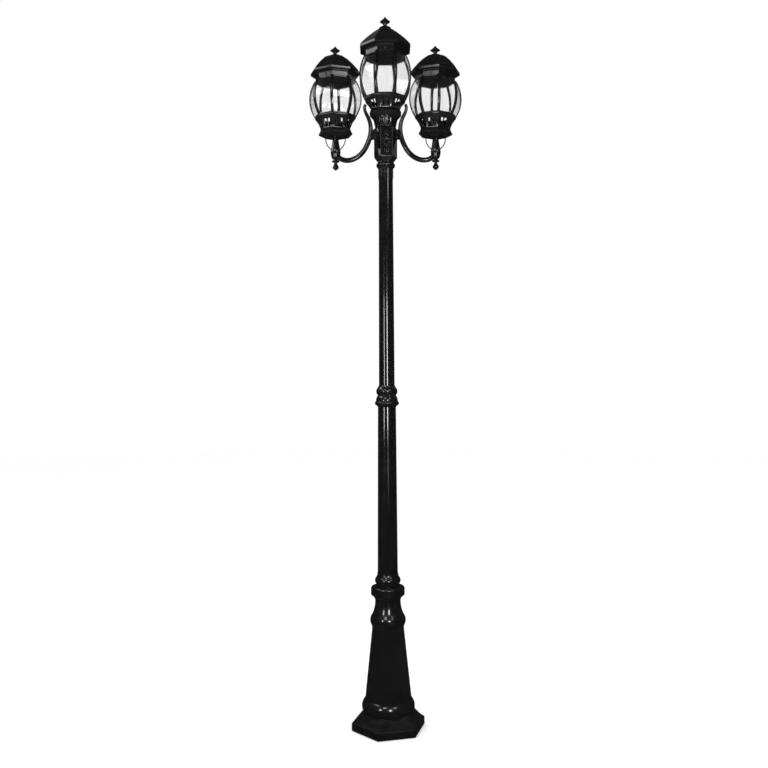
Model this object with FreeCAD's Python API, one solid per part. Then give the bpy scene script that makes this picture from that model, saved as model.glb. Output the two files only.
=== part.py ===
"""Triple head garden lamp post: a cast base, a two-part tapered post, a six-sided hub, two bowed
arms and three eight-sided lanterns whose roofs lift off.

Millimetres, +Z up. The origin is on the ground, on the axis of the post. The front is -Y.
"""
import FreeCAD, Part
import math
import os
from FreeCAD import Vector

os.makedirs("parts", exist_ok=True)

# Outlines and profiles below hold the places where straight lines end. In an outline of a turned
# piece they are (radius, height), and four numbers are an arc: a place on its way, then its end.
# In a profile of a many-sided piece they are (height, corner radius).

# ---------------------------------------------------------------- clearances
FIT = 0.15            # a tube or screw in its bore, all round
LIFT_GAP = 0.4        # between a lift-off roof and what it stands on
GLASS_GAP = 0.4       # between a pane and the cage that holds it
PLATE_GAP = 1.0       # between the ground plate and the base casting, corner to corner

# ---------------------------------------------------------------- ground plate and base casting
BASE_TURN = 14.0              # first corner of the base hexagon, degrees from +X
FLANGE_RADIUS = 127.0         # corner radius of the foot flange
FLANGE_EDGE = 26.0            # height of its upright edge
FLANGE_WALL_RADIUS = 117.0    # corner radius of the hollow inside it
BEVEL_TOP = 35.0
SKIRT_RADIUS = 113.0          # corner radius where the bevel meets the skirt
SKIRT_TOP = 61.0
SKIRT_TOP_RADIUS = 88.0
BULGE_TOP = 101.5
BULGE_OUTLINE = [(84.0, 50.0), (84.0, 57.5), (89.2, 78.0, 77.5, BULGE_TOP)]
PEDESTAL_RADIUS = 80.8        # corner radius at the foot of the six-sided pedestal
PEDESTAL_TOP = 340.0
PEDESTAL_TOP_RADIUS = 55.2
BASE_WALL = 6.0
COLLAR_RADIUS = 57.0
COLLAR_TOP = 480.0
COLLAR_TOP_RADIUS = 38.5
CROWN_OUTLINE = [(54.5, 338.0), (54.5, 346.0), (60.1, 366.0, 56.5, 379.0), (52.5, 385.0),
                 (45.1, 408.0, 43.3, 424.0), (46.3, 440.0, 54.0, 447.5), (COLLAR_RADIUS, 450.0),
                 (COLLAR_RADIUS, 470.0), (55.4, 474.8, 50.0, 478.0), (COLLAR_TOP_RADIUS, COLLAR_TOP)]
COLLAR_SCREW_HEIGHT = 460.0
CABLE_DUCT = 31.0             # radius of the way for the cable through the waist
SOCKET_DEPTH = 40.0           # how deep the lower post stands in the collar

PLATE_THICK = 5.0
PLATE_TAB = 26.0              # width of the two upright tabs
PLATE_TAB_TALL = 20.0
PLATE_TAB_THICK = 4.0
ANCHOR_CIRCLE = 150.0         # diameter of the circle of ground bolts
ANCHOR_COUNT = 4
ANCHOR_HOLE = 5.5             # radius, for M10 bolts
CABLE_HOLE = 20.0             # radius of the cable entry
BASE_SCREW_RADIUS = 4.0
BASE_SCREW_HEIGHT = 13.0
BASE_SCREW_RECESS = 1.0

# ---------------------------------------------------------------- post
FOOT_RING_HIGH = 44.0
FOOT_RING_OUTLINE = [(COLLAR_TOP_RADIUS, 0.0), (COLLAR_TOP_RADIUS, 6.0), (43.3, 18.5, 39.4, 28.0), (37.6, 31.0),
                     (35.6, 36.0, 35.4, FOOT_RING_HIGH)]
POST_WALL = 2.5
LOWER_RADIUS = 34.0           # lower post where it leaves the foot ring
LOWER_TOP_RADIUS = 30.4
JOINT_LOW = 1081.5
JOINT_SOCKET = 30.0           # how deep the lower post stands in the joint
JOINT_WEB = 6.0               # wall between the two sockets
JOINT_HIGH = 72.5
JOINT_OUTLINE = [(31.2, 0.0), (34.5, 5.5), (40.9, 13.5, 37.2, 19.5), (36.8, 22.5), (35.8, 29.0, 31.6, 37.5),
                 (30.9, 40.5), (35.8, 51.0, 33.5, 61.5), (29.4, 67.5), (27.6, JOINT_HIGH)]
JOINT_SCREWS = [(18.0, 36.9), (51.0, 35.4)]     # (height over the joint's lower end, outer end)
UPPER_RADIUS = 26.4
UPPER_TOP_RADIUS = 23.9
FERRULE_LOW = 1853.0
FERRULE_RADIUS = 25.3
FERRULE_HIGH = 55.5
FERRULE_OUTLINE = [(FERRULE_RADIUS, 0.0), (FERRULE_RADIUS, 31.0), (27.7, 36.0), (31.9, 43.0, 30.3, 48.0),
                   (26.9, 53.0), (26.9, FERRULE_HIGH)]
FERRULE_SOCKET = 37.0         # how deep the upper post stands in the ferrule
GRUB_RADIUS = 3.0             # grub screws of the post
GRUB_PROUD = 1.2
FERRULE_SCREW_HEIGHT = 18.0   # over the lower edge of the ferrule

# ---------------------------------------------------------------- hub and neck
HUB_TURN = 5.7
HUB_RADIUS = 39.6
HUB_FOOT_RADIUS = 28.6
HUB_CHAMFER = 14.0
HUB_TOP = 2021.0
HUB_TOP_CHAMFER = 1.5
HUB_TOP_RADIUS = 38.6
HUB_WALL = 6.0
SPIGOT_LENGTH = 34.0
SPIGOT_BORE = 12.0
PAD_REACH = 40.0              # from the axis to the flat face that carries an arm
PAD_THICK = 11.0              # from that face to the nut's seat inside
PAD_WIDTH = 18.0
PAD_DOWN = 36.0               # from the hub's top to a pad's lower edge
PAD_HIGH = 32.0
NECK_RADIUS = 35.0
NECK_WAIST_RADIUS = 37.2
NECK_WAIST_DOWN = 4.0         # from the middle of the neck down to its waist
NECK_TOP_RADIUS = 43.0
FLUTE_COUNT = 16
FLUTE_RADIUS = 3.4
FLUTE_PROUD = 1.0             # how far a flute's own axis lies outside the neck
FLUTE_MARGIN = 4.0            # plain band over and under the flutes

# ---------------------------------------------------------------- arms
ARM_REACH = 169.0             # from the post's axis to a side lantern's axis
ARM_RADIUS = 8.5
ARM_TIP_RADIUS = 4.8
ARM_TAPER_START = 0.55        # share of its length after which an arm gets thinner
ARM_SECTIONS = 18
ARM_END_UP = 10.5             # where an arm meets its stem, over the stem's lower end
ARM_BOW = [(-10.0, 0.0), (-41.0, -10.5), (-79.0, 4.5)]     # (sideways, up) from that place
ARM_RISE = [(22.5, -34.0), (10.0, 11.0), (18.5, 58.0), (30.5, 90.0), (27.5, 102.0)]   # from the hub's pad
LUG_MARGIN = 1.0              # how far an arm's lug stays inside its pad, all round
NIPPLE_RADIUS = 5.0
NIPPLE_BORE = 3.5
ARM_NIPPLE_OUT = 7.0          # how far it stands in the arm
NUT_RADIUS = 9.0
NUT_THICK = 5.0

# ---------------------------------------------------------------- lanterns
SIDES = 8
WEDGE = 180.0 / SIDES         # half the angle of one side
SIDE_TRAY_HEIGHT = 2002.0     # rim of a side lantern's tray over the ground
TOP_TRAY_HEIGHT = 2069.6
SIDE_TURN = 5.0               # corners of a side lantern, turned from the cross axis
TOP_TURN = WEDGE              # the top lantern shows a flat side to the front
TOP_LANTERN_WIDE = 1.04       # widths of the top lantern against the side ones
TOP_TRAY_WIDE = 0.99
TOP_TRAY_FOOT_RADIUS = 47.0
TOP_ROOF_WIDE = 1.088         # widths of the top roof's eave and slope
TOP_BASKET_HIGH = 50.4
TOP_GLASS_HIGH = 143.5
TOP_ROOF_TALL = 1.15          # height of the top roof against the side ones

TRAY_DEEP = 13.0
TRAY_FOOT_RADIUS = 22.0
TRAY_TOP_RADIUS = 52.0
TRAY_THICK = 12.0
TRAY_PROFILE = [(-3.0, 55.4), (0.0, 58.4), (1.5, 57.6), (7.0, 55.0), (TRAY_THICK, TRAY_TOP_RADIUS)]
BASKET_FOOT = 8.0             # from the tray to the basket's waist
BASKET_HIGH = 56.0            # from the tray's rim to the cage
BASKET_WAIST_RADIUS = 51.0
BASKET_FLARE_RADIUS = 57.5
BASKET_FLARE = 0.64           # share of the basket's height where it starts to flare
BASKET_SHOULDER_RADIUS = 66.0
BASKET_RIM_RADIUS = 70.0      # also the cage's two rings
BASKET_RIM = 4.0
BASKET_WALL = 3.0
SLOT_WIDTH = 9.0              # two slots in every side of the basket
SLOT_BAR = 4.0
SLOT_HIGH = 25.0
SLOT_LOW = 17.0
HOLDER_BORE = 13.5
HOLDER_HIGH = 46.0
HOLDER_OUTLINE = [(16.0, 0.0), (16.0, 6.0), (19.0, 10.0), (19.0, 44.0), (18.0, HOLDER_HIGH)]
HOLDER_FLOOR = 14.0
NIPPLE_DEEP = 50.0            # how far a lantern's nipple reaches down into the stem
NIPPLE_UP = 10.0              # how far it reaches into the lampholder
GLASS_HIGH = 124.0            # between the cage's two rings
GLASS_THICK = 2.0
GLASS_LOW = 62.5              # distance of a pane from the axis: foot, belly and head
GLASS_BELLY = 81.0
GLASS_HEAD = 64.0
BELLY_PLACE = 0.54            # share of the pane's height at which it is widest
RING_HIGH = 4.0
RING_INNER_RADIUS = 56.0
RIB_WIDTH = 9.5
RIB_OUT = 1.5                 # how far a rib stands out over the glass
RIB_IN = 3.0
HEAD_RING_RADIUS = 64.5       # the part of the top ring that the roof's skirt covers
HEAD_RING_HIGH = 6.0

SKIRT_INNER_GAP = 0.7         # between roof skirt and head ring, corner to corner
SKIRT_WALL = 2.3
SKIRT_HIGH = 15.0
STEP_RADIUS = 73.0
EAVE_LOW = 19.0               # over the skirt's lower edge
EAVE_RADIUS = 84.0
EAVE_EDGE = 8.0
SIDE_ROOF_PROFILE = [(41.0, 74.0), (59.0, 58.0), (73.0, 43.0), (79.0, 33.0)]   # (height, corner radius)
TOP_ROOF_PROFILE = [(36.0, 76.0), (47.0, 64.5), (57.0, 53.0), (68.0, 39.0), (78.0, 25.0)]
CAP_FOOT_RADIUS = 23.0
CAP_RADIUS = 18.5
CAP_TOP = 86.0
ROOF_WALL = 3.5
SHELF_RADIUS = 60.0
SHELF_THICK = 4.0
ATTIC_EDGE = 10.5             # from the eave's corner in to the hollow's widest place
ATTIC_DROP = 1.0              # how far that place lies under the eave's upper edge
FINIAL = [(0.0, 8.5), (6.0, 5.6), (11.5, 8.5), (16.8, 17.9), (21.0, 11.5), (26.0, 5.5), (32.0, 0.8)]
ROOF_SCREW_RADIUS = 2.0
ROOF_SCREW_HEAD = 3.4
ROOF_SCREW_HEAD_THICK = 2.4
ROOF_SCREW_HEIGHT = 8.0       # over the skirt's lower edge

# ---------------------------------------------------------------- side lantern stems
STEM_LOW = -87.0              # lower end of a stem, from the tray's rim
STEM_OUTLINE = [(6.0, STEM_LOW), (7.5, -84.0), (12.5, -80.0, 14.5, -74.3), (16.8, -62.0, 15.8, -50.0),
                (13.0, -37.0), (9.6, -TRAY_DEEP)]
STEM_BORE_LOW = -66.0
DROP_STUD_RADIUS = 3.0
DROP_STUD = 9.0
BEAD_OUTLINE = [(5.0, -12.0), (5.0, -8.0), (10.8, -6.0), (12.8, -3.4, 11.2, -1.2), (6.0, 0.0)]   # from the stem
BALL_PROFILE = [(-34.3, 1.2), (-28.5, 8.6), (-24.0, 11.6), (-18.0, 9.4), (-11.5, 4.6)]
WIRE_RADIUS = 1.7
WIRE_COUNT = 4
WIRE_TOP = (33.0, -11.5)      # where a wire brace meets the tray: (distance, height)
WIRE_BOW = (29.0, -33.0)
WIRE_LOW = (15.0, -50.0)


# ---------------------------------------------------------------- ways of making a shape
def polygon(sides, corner_radius, z, turn):
    """Level regular polygon whose first corner stands at the angle turn."""
    corners = []
    for index in range(sides + 1):
        angle = math.radians(turn + 360.0 / sides * index)
        corners.append(Vector(corner_radius * math.cos(angle), corner_radius * math.sin(angle), z))
    return Part.makePolygon(corners)


def faceted(sides, profile, turn):
    """Solid with flat sides through level polygons; profile holds (height, corner radius)."""
    return Part.makeLoft([polygon(sides, radius, z, turn) for z, radius in profile], True, True)


def turned(start, *steps):
    """Solid turned about the Z axis.

    start and each two-number step are (radius, z) at the end of a straight line. A four-number
    step is an arc: (radius, z) on its way, then (radius, z) at its end.
    """
    edges = []
    here = Vector(start[0], 0, start[1])
    first = here
    for step in steps:
        there = Vector(step[-2], 0, step[-1])
        if len(step) == 4:
            edges.append(Part.Arc(here, Vector(step[0], 0, step[1]), there).toShape())
        else:
            edges.append(Part.makeLine(here, there))
        here = there
    low_axis = Vector(0, 0, first.z)
    high_axis = Vector(0, 0, here.z)
    edges.append(Part.makeLine(here, high_axis))
    edges.append(Part.makeLine(high_axis, low_axis))
    edges.append(Part.makeLine(low_axis, first))
    return Part.Face(Part.Wire(edges)).revolve(Vector(0, 0, 0), Vector(0, 0, 1), 360)


def raised(outline, up):
    """The same outline, higher up."""
    return [tuple(value + up * (place % 2) for place, value in enumerate(step)) for step in outline]


def rod(radius, low, high):
    """Upright cylinder on the axis."""
    return Part.makeCylinder(radius, high - low, Vector(0, 0, low))


def radial_rod(radius, inner, outer, z, angle):
    """Level cylinder that points away from the axis."""
    along = Vector(math.cos(math.radians(angle)), math.sin(math.radians(angle)), 0)
    return Part.makeCylinder(radius, outer - inner, along * inner + Vector(0, 0, z), along)


def spun(shape, angle):
    """Copy of a shape, turned about the Z axis."""
    copy = shape.copy()
    copy.rotate(Vector(0, 0, 0), Vector(0, 0, 1), angle)
    return copy


def moved(shape, x, z):
    """Copy of a shape, moved sideways and up."""
    copy = shape.copy()
    copy.translate(Vector(x, 0, z))
    return copy


def apothem(corner_radius, sides):
    """Distance from the axis to the flats of a regular polygon."""
    return corner_radius * math.cos(math.pi / sides)


def save(name, shape):
    """Write one node's file."""
    shape.exportStep("parts/" + name + ".step")


# ---------------------------------------------------------------- ground plate and base casting
PLATE_RADIUS = FLANGE_WALL_RADIUS - PLATE_GAP
BASE_FLAT = BASE_TURN + 30.0          # direction of the flange's side that takes a grub screw
SOCKET_FLOOR = COLLAR_TOP - SOCKET_DEPTH


def ground_plate():
    """Six-sided steel plate that is bolted to the ground, with two tabs for the base's screws."""
    plate = faceted(6, [(0, PLATE_RADIUS), (PLATE_THICK, PLATE_RADIUS)], BASE_TURN)
    flat = apothem(PLATE_RADIUS, 6)
    tab = Part.makeBox(PLATE_TAB_THICK, PLATE_TAB, PLATE_TAB_TALL,
                       Vector(flat - PLATE_TAB_THICK, -PLATE_TAB / 2, 0))
    for side in (0, 180):
        plate = plate.fuse(spun(tab, BASE_FLAT + side))
    for index in range(ANCHOR_COUNT):
        hole = Part.makeCylinder(ANCHOR_HOLE, PLATE_THICK, Vector(ANCHOR_CIRCLE / 2, 0, 0))
        plate = plate.cut(spun(hole, 45.0 + 360.0 / ANCHOR_COUNT * index))
    return plate.cut(rod(CABLE_HOLE, 0, PLATE_THICK)).removeSplitter()


def base_screws():
    """Two grub screws that clamp the base casting to the plate's tabs."""
    inner = apothem(PLATE_RADIUS, 6)
    outer = apothem(FLANGE_RADIUS, 6) - BASE_SCREW_RECESS
    screws = [radial_rod(BASE_SCREW_RADIUS, inner, outer, BASE_SCREW_HEIGHT, BASE_FLAT + side)
              for side in (0, 180)]
    return Part.makeCompound(screws)


def base_outside():
    """Outer form of the base: six-sided foot and pedestal with round mouldings between."""
    foot = faceted(6, [(0, FLANGE_RADIUS), (FLANGE_EDGE, FLANGE_RADIUS), (BEVEL_TOP, SKIRT_RADIUS),
                       (SKIRT_TOP, SKIRT_TOP_RADIUS)], BASE_TURN)
    bulge = turned(*BULGE_OUTLINE)
    pedestal = faceted(6, [(SKIRT_TOP, PEDESTAL_RADIUS), (BULGE_TOP, PEDESTAL_RADIUS),
                           (PEDESTAL_TOP, PEDESTAL_TOP_RADIUS)], BASE_TURN)
    return foot.fuse([bulge, pedestal, turned(*CROWN_OUTLINE)])


def base_casting():
    """The hollow base: a wall under the pedestal, a cable duct and the socket of the lower post."""
    hollow = faceted(6, [(0, FLANGE_WALL_RADIUS), (FLANGE_EDGE - BASE_WALL, FLANGE_WALL_RADIUS),
                         (SKIRT_TOP - BASE_WALL, SKIRT_TOP_RADIUS - BASE_WALL),
                         (BULGE_TOP, PEDESTAL_RADIUS - BASE_WALL),
                         (PEDESTAL_TOP - BASE_WALL, PEDESTAL_TOP_RADIUS - BASE_WALL)], BASE_TURN)
    duct = rod(CABLE_DUCT, PEDESTAL_TOP - 2 * BASE_WALL, SOCKET_FLOOR)
    socket = rod(LOWER_RADIUS + FIT, SOCKET_FLOOR, COLLAR_TOP)
    casting = base_outside().cut(hollow).cut(duct).cut(socket)
    for side in (0, 180):
        hole = radial_rod(BASE_SCREW_RADIUS + FIT, apothem(PLATE_RADIUS, 6), FLANGE_RADIUS,
                          BASE_SCREW_HEIGHT, BASE_FLAT + side)
        casting = casting.cut(hole)
    return casting.cut(collar_screw(FIT))


def collar_screw(gap):
    """Grub screw at the back of the collar that holds the lower post; gap widens it to its hole."""
    return radial_rod(GRUB_RADIUS + gap, LOWER_RADIUS + FIT - gap, COLLAR_RADIUS + gap, COLLAR_SCREW_HEIGHT, 90)


# ---------------------------------------------------------------- post
JOINT_FLOOR = JOINT_LOW + JOINT_SOCKET
UPPER_LOW = JOINT_FLOOR + JOINT_WEB
JOINT_TOP = JOINT_LOW + JOINT_HIGH
FERRULE_FLOOR = FERRULE_LOW + FERRULE_SOCKET
FERRULE_TOP = FERRULE_LOW + FERRULE_HIGH
FOOT_RING_TOP = COLLAR_TOP + FOOT_RING_HIGH


def foot_ring():
    """Turned ring that covers the place where the lower post stands in the base."""
    ring = turned(*raised(FOOT_RING_OUTLINE, COLLAR_TOP))
    return ring.cut(rod(LOWER_RADIUS + FIT, COLLAR_TOP, FOOT_RING_TOP))


def tapered_tube(low, taper_low, taper_high, high, low_radius, high_radius):
    """Post tube with straight ends and a long taper between."""
    def solid(inset):
        return turned((low_radius - inset, low), (low_radius - inset, taper_low),
                      (high_radius - inset, taper_high), (high_radius - inset, high))
    return solid(0.0).cut(solid(POST_WALL))


def lower_post():
    """Lower tube, from the socket in the collar to the socket in the joint."""
    return tapered_tube(SOCKET_FLOOR, FOOT_RING_TOP, JOINT_LOW, JOINT_FLOOR, LOWER_RADIUS, LOWER_TOP_RADIUS)


def upper_post():
    """Upper tube, from the joint to the ferrule."""
    return tapered_tube(UPPER_LOW, JOINT_TOP, FERRULE_LOW, FERRULE_FLOOR, UPPER_RADIUS, UPPER_TOP_RADIUS)


def joint_screw_rods(gap):
    """Grub screws at the back of the joint, one for each tube; gap widens them to their holes."""
    rods = []
    for (height, outer), tube in zip(JOINT_SCREWS, (LOWER_TOP_RADIUS, UPPER_RADIUS)):
        rods.append(radial_rod(GRUB_RADIUS + gap, tube + FIT - gap, outer + gap, JOINT_LOW + height, 90))
    return rods


def mid_joint():
    """Turned casting with a socket from each end, in which the two tubes meet."""
    joint = turned(*raised(JOINT_OUTLINE, JOINT_LOW))
    joint = joint.cut(rod(LOWER_TOP_RADIUS + FIT, JOINT_LOW, JOINT_FLOOR))
    joint = joint.cut(rod(UPPER_RADIUS + FIT, UPPER_LOW, JOINT_TOP))
    joint = joint.cut(rod(UPPER_RADIUS - POST_WALL, JOINT_FLOOR, UPPER_LOW))
    return joint.cut(joint_screw_rods(FIT))


def joint_screws():
    """The joint's two grub screws."""
    return Part.makeCompound(joint_screw_rods(0.0))


def ferrule_screw(gap):
    """Grub screw at the front of the ferrule; gap widens it to its hole."""
    return radial_rod(GRUB_RADIUS + gap, UPPER_TOP_RADIUS + FIT - gap, FERRULE_RADIUS + GRUB_PROUD + gap,
                      FERRULE_LOW + FERRULE_SCREW_HEIGHT, -90)


def post_ferrule():
    """Sleeve with a bead round the top of the upper tube; the hub stands on it."""
    ferrule = turned(*raised(FERRULE_OUTLINE, FERRULE_LOW))
    ferrule = ferrule.cut(rod(UPPER_TOP_RADIUS + FIT, FERRULE_LOW, FERRULE_FLOOR))
    ferrule = ferrule.cut(rod(UPPER_TOP_RADIUS - POST_WALL, FERRULE_FLOOR, FERRULE_TOP))
    return ferrule.cut(ferrule_screw(FIT))


# ---------------------------------------------------------------- hub and neck
PAD_LOW = HUB_TOP - PAD_DOWN
NIPPLE_HEIGHT = PAD_LOW + PAD_HIGH / 2
NUT_SEAT = PAD_REACH - PAD_THICK
TOP_TRAY_FOOT = TOP_TRAY_HEIGHT - TRAY_DEEP


def hub_casting():
    """Six-sided hollow hub with a spigot in the post and a flat pad for each arm."""
    hub = faceted(6, [(FERRULE_TOP, HUB_FOOT_RADIUS), (FERRULE_TOP + HUB_CHAMFER, HUB_RADIUS),
                      (HUB_TOP - HUB_TOP_CHAMFER, HUB_RADIUS), (HUB_TOP, HUB_TOP_RADIUS)], HUB_TURN)
    pads = Part.makeBox(2 * PAD_REACH, PAD_WIDTH, PAD_HIGH, Vector(-PAD_REACH, -PAD_WIDTH / 2, PAD_LOW))
    spigot = rod(UPPER_TOP_RADIUS - POST_WALL - FIT, FERRULE_TOP - SPIGOT_LENGTH, FERRULE_TOP)
    inner = HUB_RADIUS - HUB_WALL
    hollow = faceted(6, [(FERRULE_TOP + HUB_CHAMFER, inner), (HUB_TOP - HUB_WALL, inner)], HUB_TURN)
    for side in (0, 180):
        seat = Part.makeBox(HUB_RADIUS, PAD_WIDTH, PAD_HIGH, Vector(NUT_SEAT, -PAD_WIDTH / 2, PAD_LOW))
        hollow = hollow.cut(spun(seat, side))
    hollow = hollow.fuse(Part.makeBox(2 * NUT_SEAT, PAD_WIDTH, PAD_HIGH,
                                      Vector(-NUT_SEAT, -PAD_WIDTH / 2, PAD_LOW)))
    hub = hub.fuse([pads, spigot]).cut(hollow)
    hub = hub.cut(rod(SPIGOT_BORE, FERRULE_TOP - SPIGOT_LENGTH, FERRULE_TOP + HUB_CHAMFER))
    hub = hub.cut(rod(NIPPLE_RADIUS + FIT, HUB_TOP - HUB_WALL, HUB_TOP))
    bore = radial_rod(NIPPLE_RADIUS + FIT, -PAD_REACH, PAD_REACH, NIPPLE_HEIGHT, 0)
    return hub.cut(bore).removeSplitter()


def fluted_neck():
    """Fluted cup between the hub and the top lantern's tray."""
    middle = (HUB_TOP + TOP_TRAY_FOOT) / 2
    neck = turned((NECK_RADIUS, HUB_TOP),
                  (NECK_WAIST_RADIUS, middle - NECK_WAIST_DOWN, NECK_TOP_RADIUS, TOP_TRAY_FOOT))
    along = Vector(NECK_TOP_RADIUS - NECK_RADIUS, 0, TOP_TRAY_FOOT - HUB_TOP)
    start = Vector(NECK_RADIUS + FLUTE_PROUD, 0, HUB_TOP) + along * (FLUTE_MARGIN / along.Length)
    flute = Part.makeCylinder(FLUTE_RADIUS, along.Length - 2 * FLUTE_MARGIN, start, along)
    flutes = [spun(flute, 360.0 / FLUTE_COUNT * index) for index in range(FLUTE_COUNT)]
    return neck.cut(flutes).cut(rod(NIPPLE_RADIUS + FIT, HUB_TOP, TOP_TRAY_FOOT))


# ---------------------------------------------------------------- arms
def arm_line():
    """Middle line of the right arm, from the stem to the curl under the top lantern."""
    at_stem = SIDE_TRAY_HEIGHT + STEM_LOW + ARM_END_UP
    points = [Vector(ARM_REACH + x, 0, at_stem + z) for x, z in ARM_BOW]
    points += [Vector(PAD_REACH + x, 0, NIPPLE_HEIGHT + z) for x, z in ARM_RISE]
    line = Part.BSplineCurve()
    line.interpolate(points)
    return line


def arm_tube():
    """The bowed, tapering arm, right of the post."""
    line = arm_line()
    first, last = line.FirstParameter, line.LastParameter
    sections = []
    for index in range(ARM_SECTIONS):
        share = index / (ARM_SECTIONS - 1)
        place = first + (last - first) * share
        thinner = max(0.0, share - ARM_TAPER_START) / (1.0 - ARM_TAPER_START)
        radius = ARM_RADIUS + (ARM_TIP_RADIUS - ARM_RADIUS) * thinner
        circle = Part.Circle(line.value(place), Vector(*line.tangent(place)[0]), radius)
        sections.append(Part.Wire(circle.toShape()))
    return Part.makeLoft(sections, True, False)


def arm(stem_shape):
    """One arm: the bowed tube, the lug that seats on the hub's pad, and the end at the stem."""
    wide = PAD_WIDTH - 2 * LUG_MARGIN
    lug = Part.makeBox(ARM_RISE[1][0], wide, PAD_HIGH - 2 * LUG_MARGIN,
                       Vector(PAD_REACH, -wide / 2, PAD_LOW + LUG_MARGIN))
    whole = arm_tube().fuse(lug)
    bore = radial_rod(NIPPLE_RADIUS + FIT, PAD_REACH, PAD_REACH + ARM_NIPPLE_OUT, NIPPLE_HEIGHT, 0)
    return whole.cut(bore).cut(moved(stem_shape, ARM_REACH, SIDE_TRAY_HEIGHT))


def arm_nipple():
    """Threaded tube that holds an arm to the hub and leads its cable in."""
    inner = NUT_SEAT - NUT_THICK
    outer = PAD_REACH + ARM_NIPPLE_OUT
    tube = radial_rod(NIPPLE_RADIUS, inner, outer, NIPPLE_HEIGHT, 0)
    return tube.cut(radial_rod(NIPPLE_BORE, inner, outer, NIPPLE_HEIGHT, 0))


def arm_nut():
    """Six-sided nut on the nipple, against the hub's inner wall."""
    nut = faceted(6, [(0, NUT_RADIUS), (NUT_THICK, NUT_RADIUS)], 0).cut(rod(NIPPLE_RADIUS + FIT, 0, NUT_THICK))
    nut.rotate(Vector(0, 0, 0), Vector(0, 1, 0), 90)
    return moved(nut, NUT_SEAT - NUT_THICK, NIPPLE_HEIGHT)


def both_sides(shape):
    """A right-hand shape and its mirror image on the left."""
    return shape, shape.mirror(Vector(0, 0, 0), Vector(1, 0, 0))


# ---------------------------------------------------------------- side lantern stems
def stem_outside():
    """Vase-shaped stem under a side lantern, from the tray's foot down."""
    return turned(*STEM_OUTLINE)


def stem():
    """The stem with its bore for the nipple and its hole for the drop finial."""
    body = stem_outside().cut(rod(NIPPLE_RADIUS + FIT, STEM_BORE_LOW, -TRAY_DEEP))
    return body.cut(rod(DROP_STUD_RADIUS + FIT, STEM_LOW, STEM_LOW + DROP_STUD + FIT))


def drop_finial():
    """Small drop with a bead and an eight-sided ball, screwed into the stem from below."""
    bead = turned(*raised(BEAD_OUTLINE, STEM_LOW))
    ball = faceted(SIDES, [(STEM_LOW + z, radius) for z, radius in BALL_PROFILE], WEDGE)
    return bead.fuse([ball, rod(DROP_STUD_RADIUS, STEM_LOW, STEM_LOW + DROP_STUD)])


def braces():
    """Thin bowed wires between the tray's foot and the stem, one for each quarter."""
    top, bow, low = [Vector(x, 0, z) for x, z in (WIRE_TOP, WIRE_BOW, WIRE_LOW)]
    path = Part.Wire(Part.Arc(top, bow, low).toShape())
    start = path.Edges[0].tangentAt(path.Edges[0].FirstParameter)
    section = Part.Wire(Part.Circle(top, start, WIRE_RADIUS).toShape())
    wire = path.makePipeShell([section], True, True)
    wire = wire.cut(stem_outside())
    return Part.makeCompound([spun(wire, 360.0 / WIRE_COUNT * index) for index in range(WIRE_COUNT)])


# ---------------------------------------------------------------- lanterns
class Lantern:
    """Sizes and heights of one lantern, from the rim of its tray at zero."""

    def __init__(self, name, x, height, turn, wide, tray, basket_high, glass_high, roof_wide, roof_tall,
                 roof_profile):
        self.name = name
        self.x = x
        self.height = height
        self.turn = turn
        self.wide = wide
        self.tray_wide, self.tray_foot = tray
        self.roof_wide = roof_wide
        self.roof_tall = roof_tall
        self.roof_profile = roof_profile
        self.basket_top = basket_high
        self.glass_low = basket_high + RING_HIGH
        self.glass_high = self.glass_low + glass_high - 2 * RING_HIGH
        self.cage_top = self.glass_high + RING_HIGH + HEAD_RING_HIGH
        self.skirt_low = self.glass_high + RING_HIGH + LIFT_GAP

    def ring(self, profile):
        """Many-sided solid at this lantern's turn and width."""
        return faceted(SIDES, [(z, radius * self.wide) for z, radius in profile], self.turn)

    def roof_ring(self, profile):
        """Many-sided solid at this lantern's turn and its roof's own width."""
        return faceted(SIDES, [(z, radius * self.roof_wide) for z, radius in profile], self.turn)

    def roof_height(self, z):
        """Height of a place on the roof, over the skirt's lower edge."""
        return self.skirt_low + z * self.roof_tall


def tray(lantern):
    """Eight-sided saucer under the basket."""
    profile = [(-TRAY_DEEP, lantern.tray_foot)] + TRAY_PROFILE
    body = faceted(SIDES, [(z, radius * lantern.tray_wide) for z, radius in profile], lantern.turn)
    return body.cut(rod(NIPPLE_RADIUS + FIT, -TRAY_DEEP, TRAY_THICK))


def basket_profile(lantern, inset):
    """(height, corner radius) of the basket's flaring wall."""
    high = lantern.basket_top
    foot = TRAY_TOP_RADIUS * lantern.tray_wide / lantern.wide
    return [(TRAY_THICK, foot - inset), (TRAY_THICK + BASKET_FOOT, BASKET_WAIST_RADIUS - inset),
            (high * BASKET_FLARE, BASKET_FLARE_RADIUS - inset),
            (high - 2 * BASKET_RIM, BASKET_SHOULDER_RADIUS - inset),
            (high - BASKET_RIM, BASKET_RIM_RADIUS - inset), (high, BASKET_RIM_RADIUS - inset)]


def slot(width, low, high, reach):
    """Upright slot with round ends, cut outwards along +X."""
    half = width / 2
    bottom, top = low + half, high - half
    edges = [Part.makeLine(Vector(0, -half, bottom), Vector(0, -half, top)),
             Part.Arc(Vector(0, -half, top), Vector(0, 0, high), Vector(0, half, top)).toShape(),
             Part.makeLine(Vector(0, half, top), Vector(0, half, bottom)),
             Part.Arc(Vector(0, half, bottom), Vector(0, 0, low), Vector(0, -half, bottom)).toShape()]
    return Part.Face(Part.Wire(edges)).extrude(Vector(reach, 0, 0))


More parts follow.
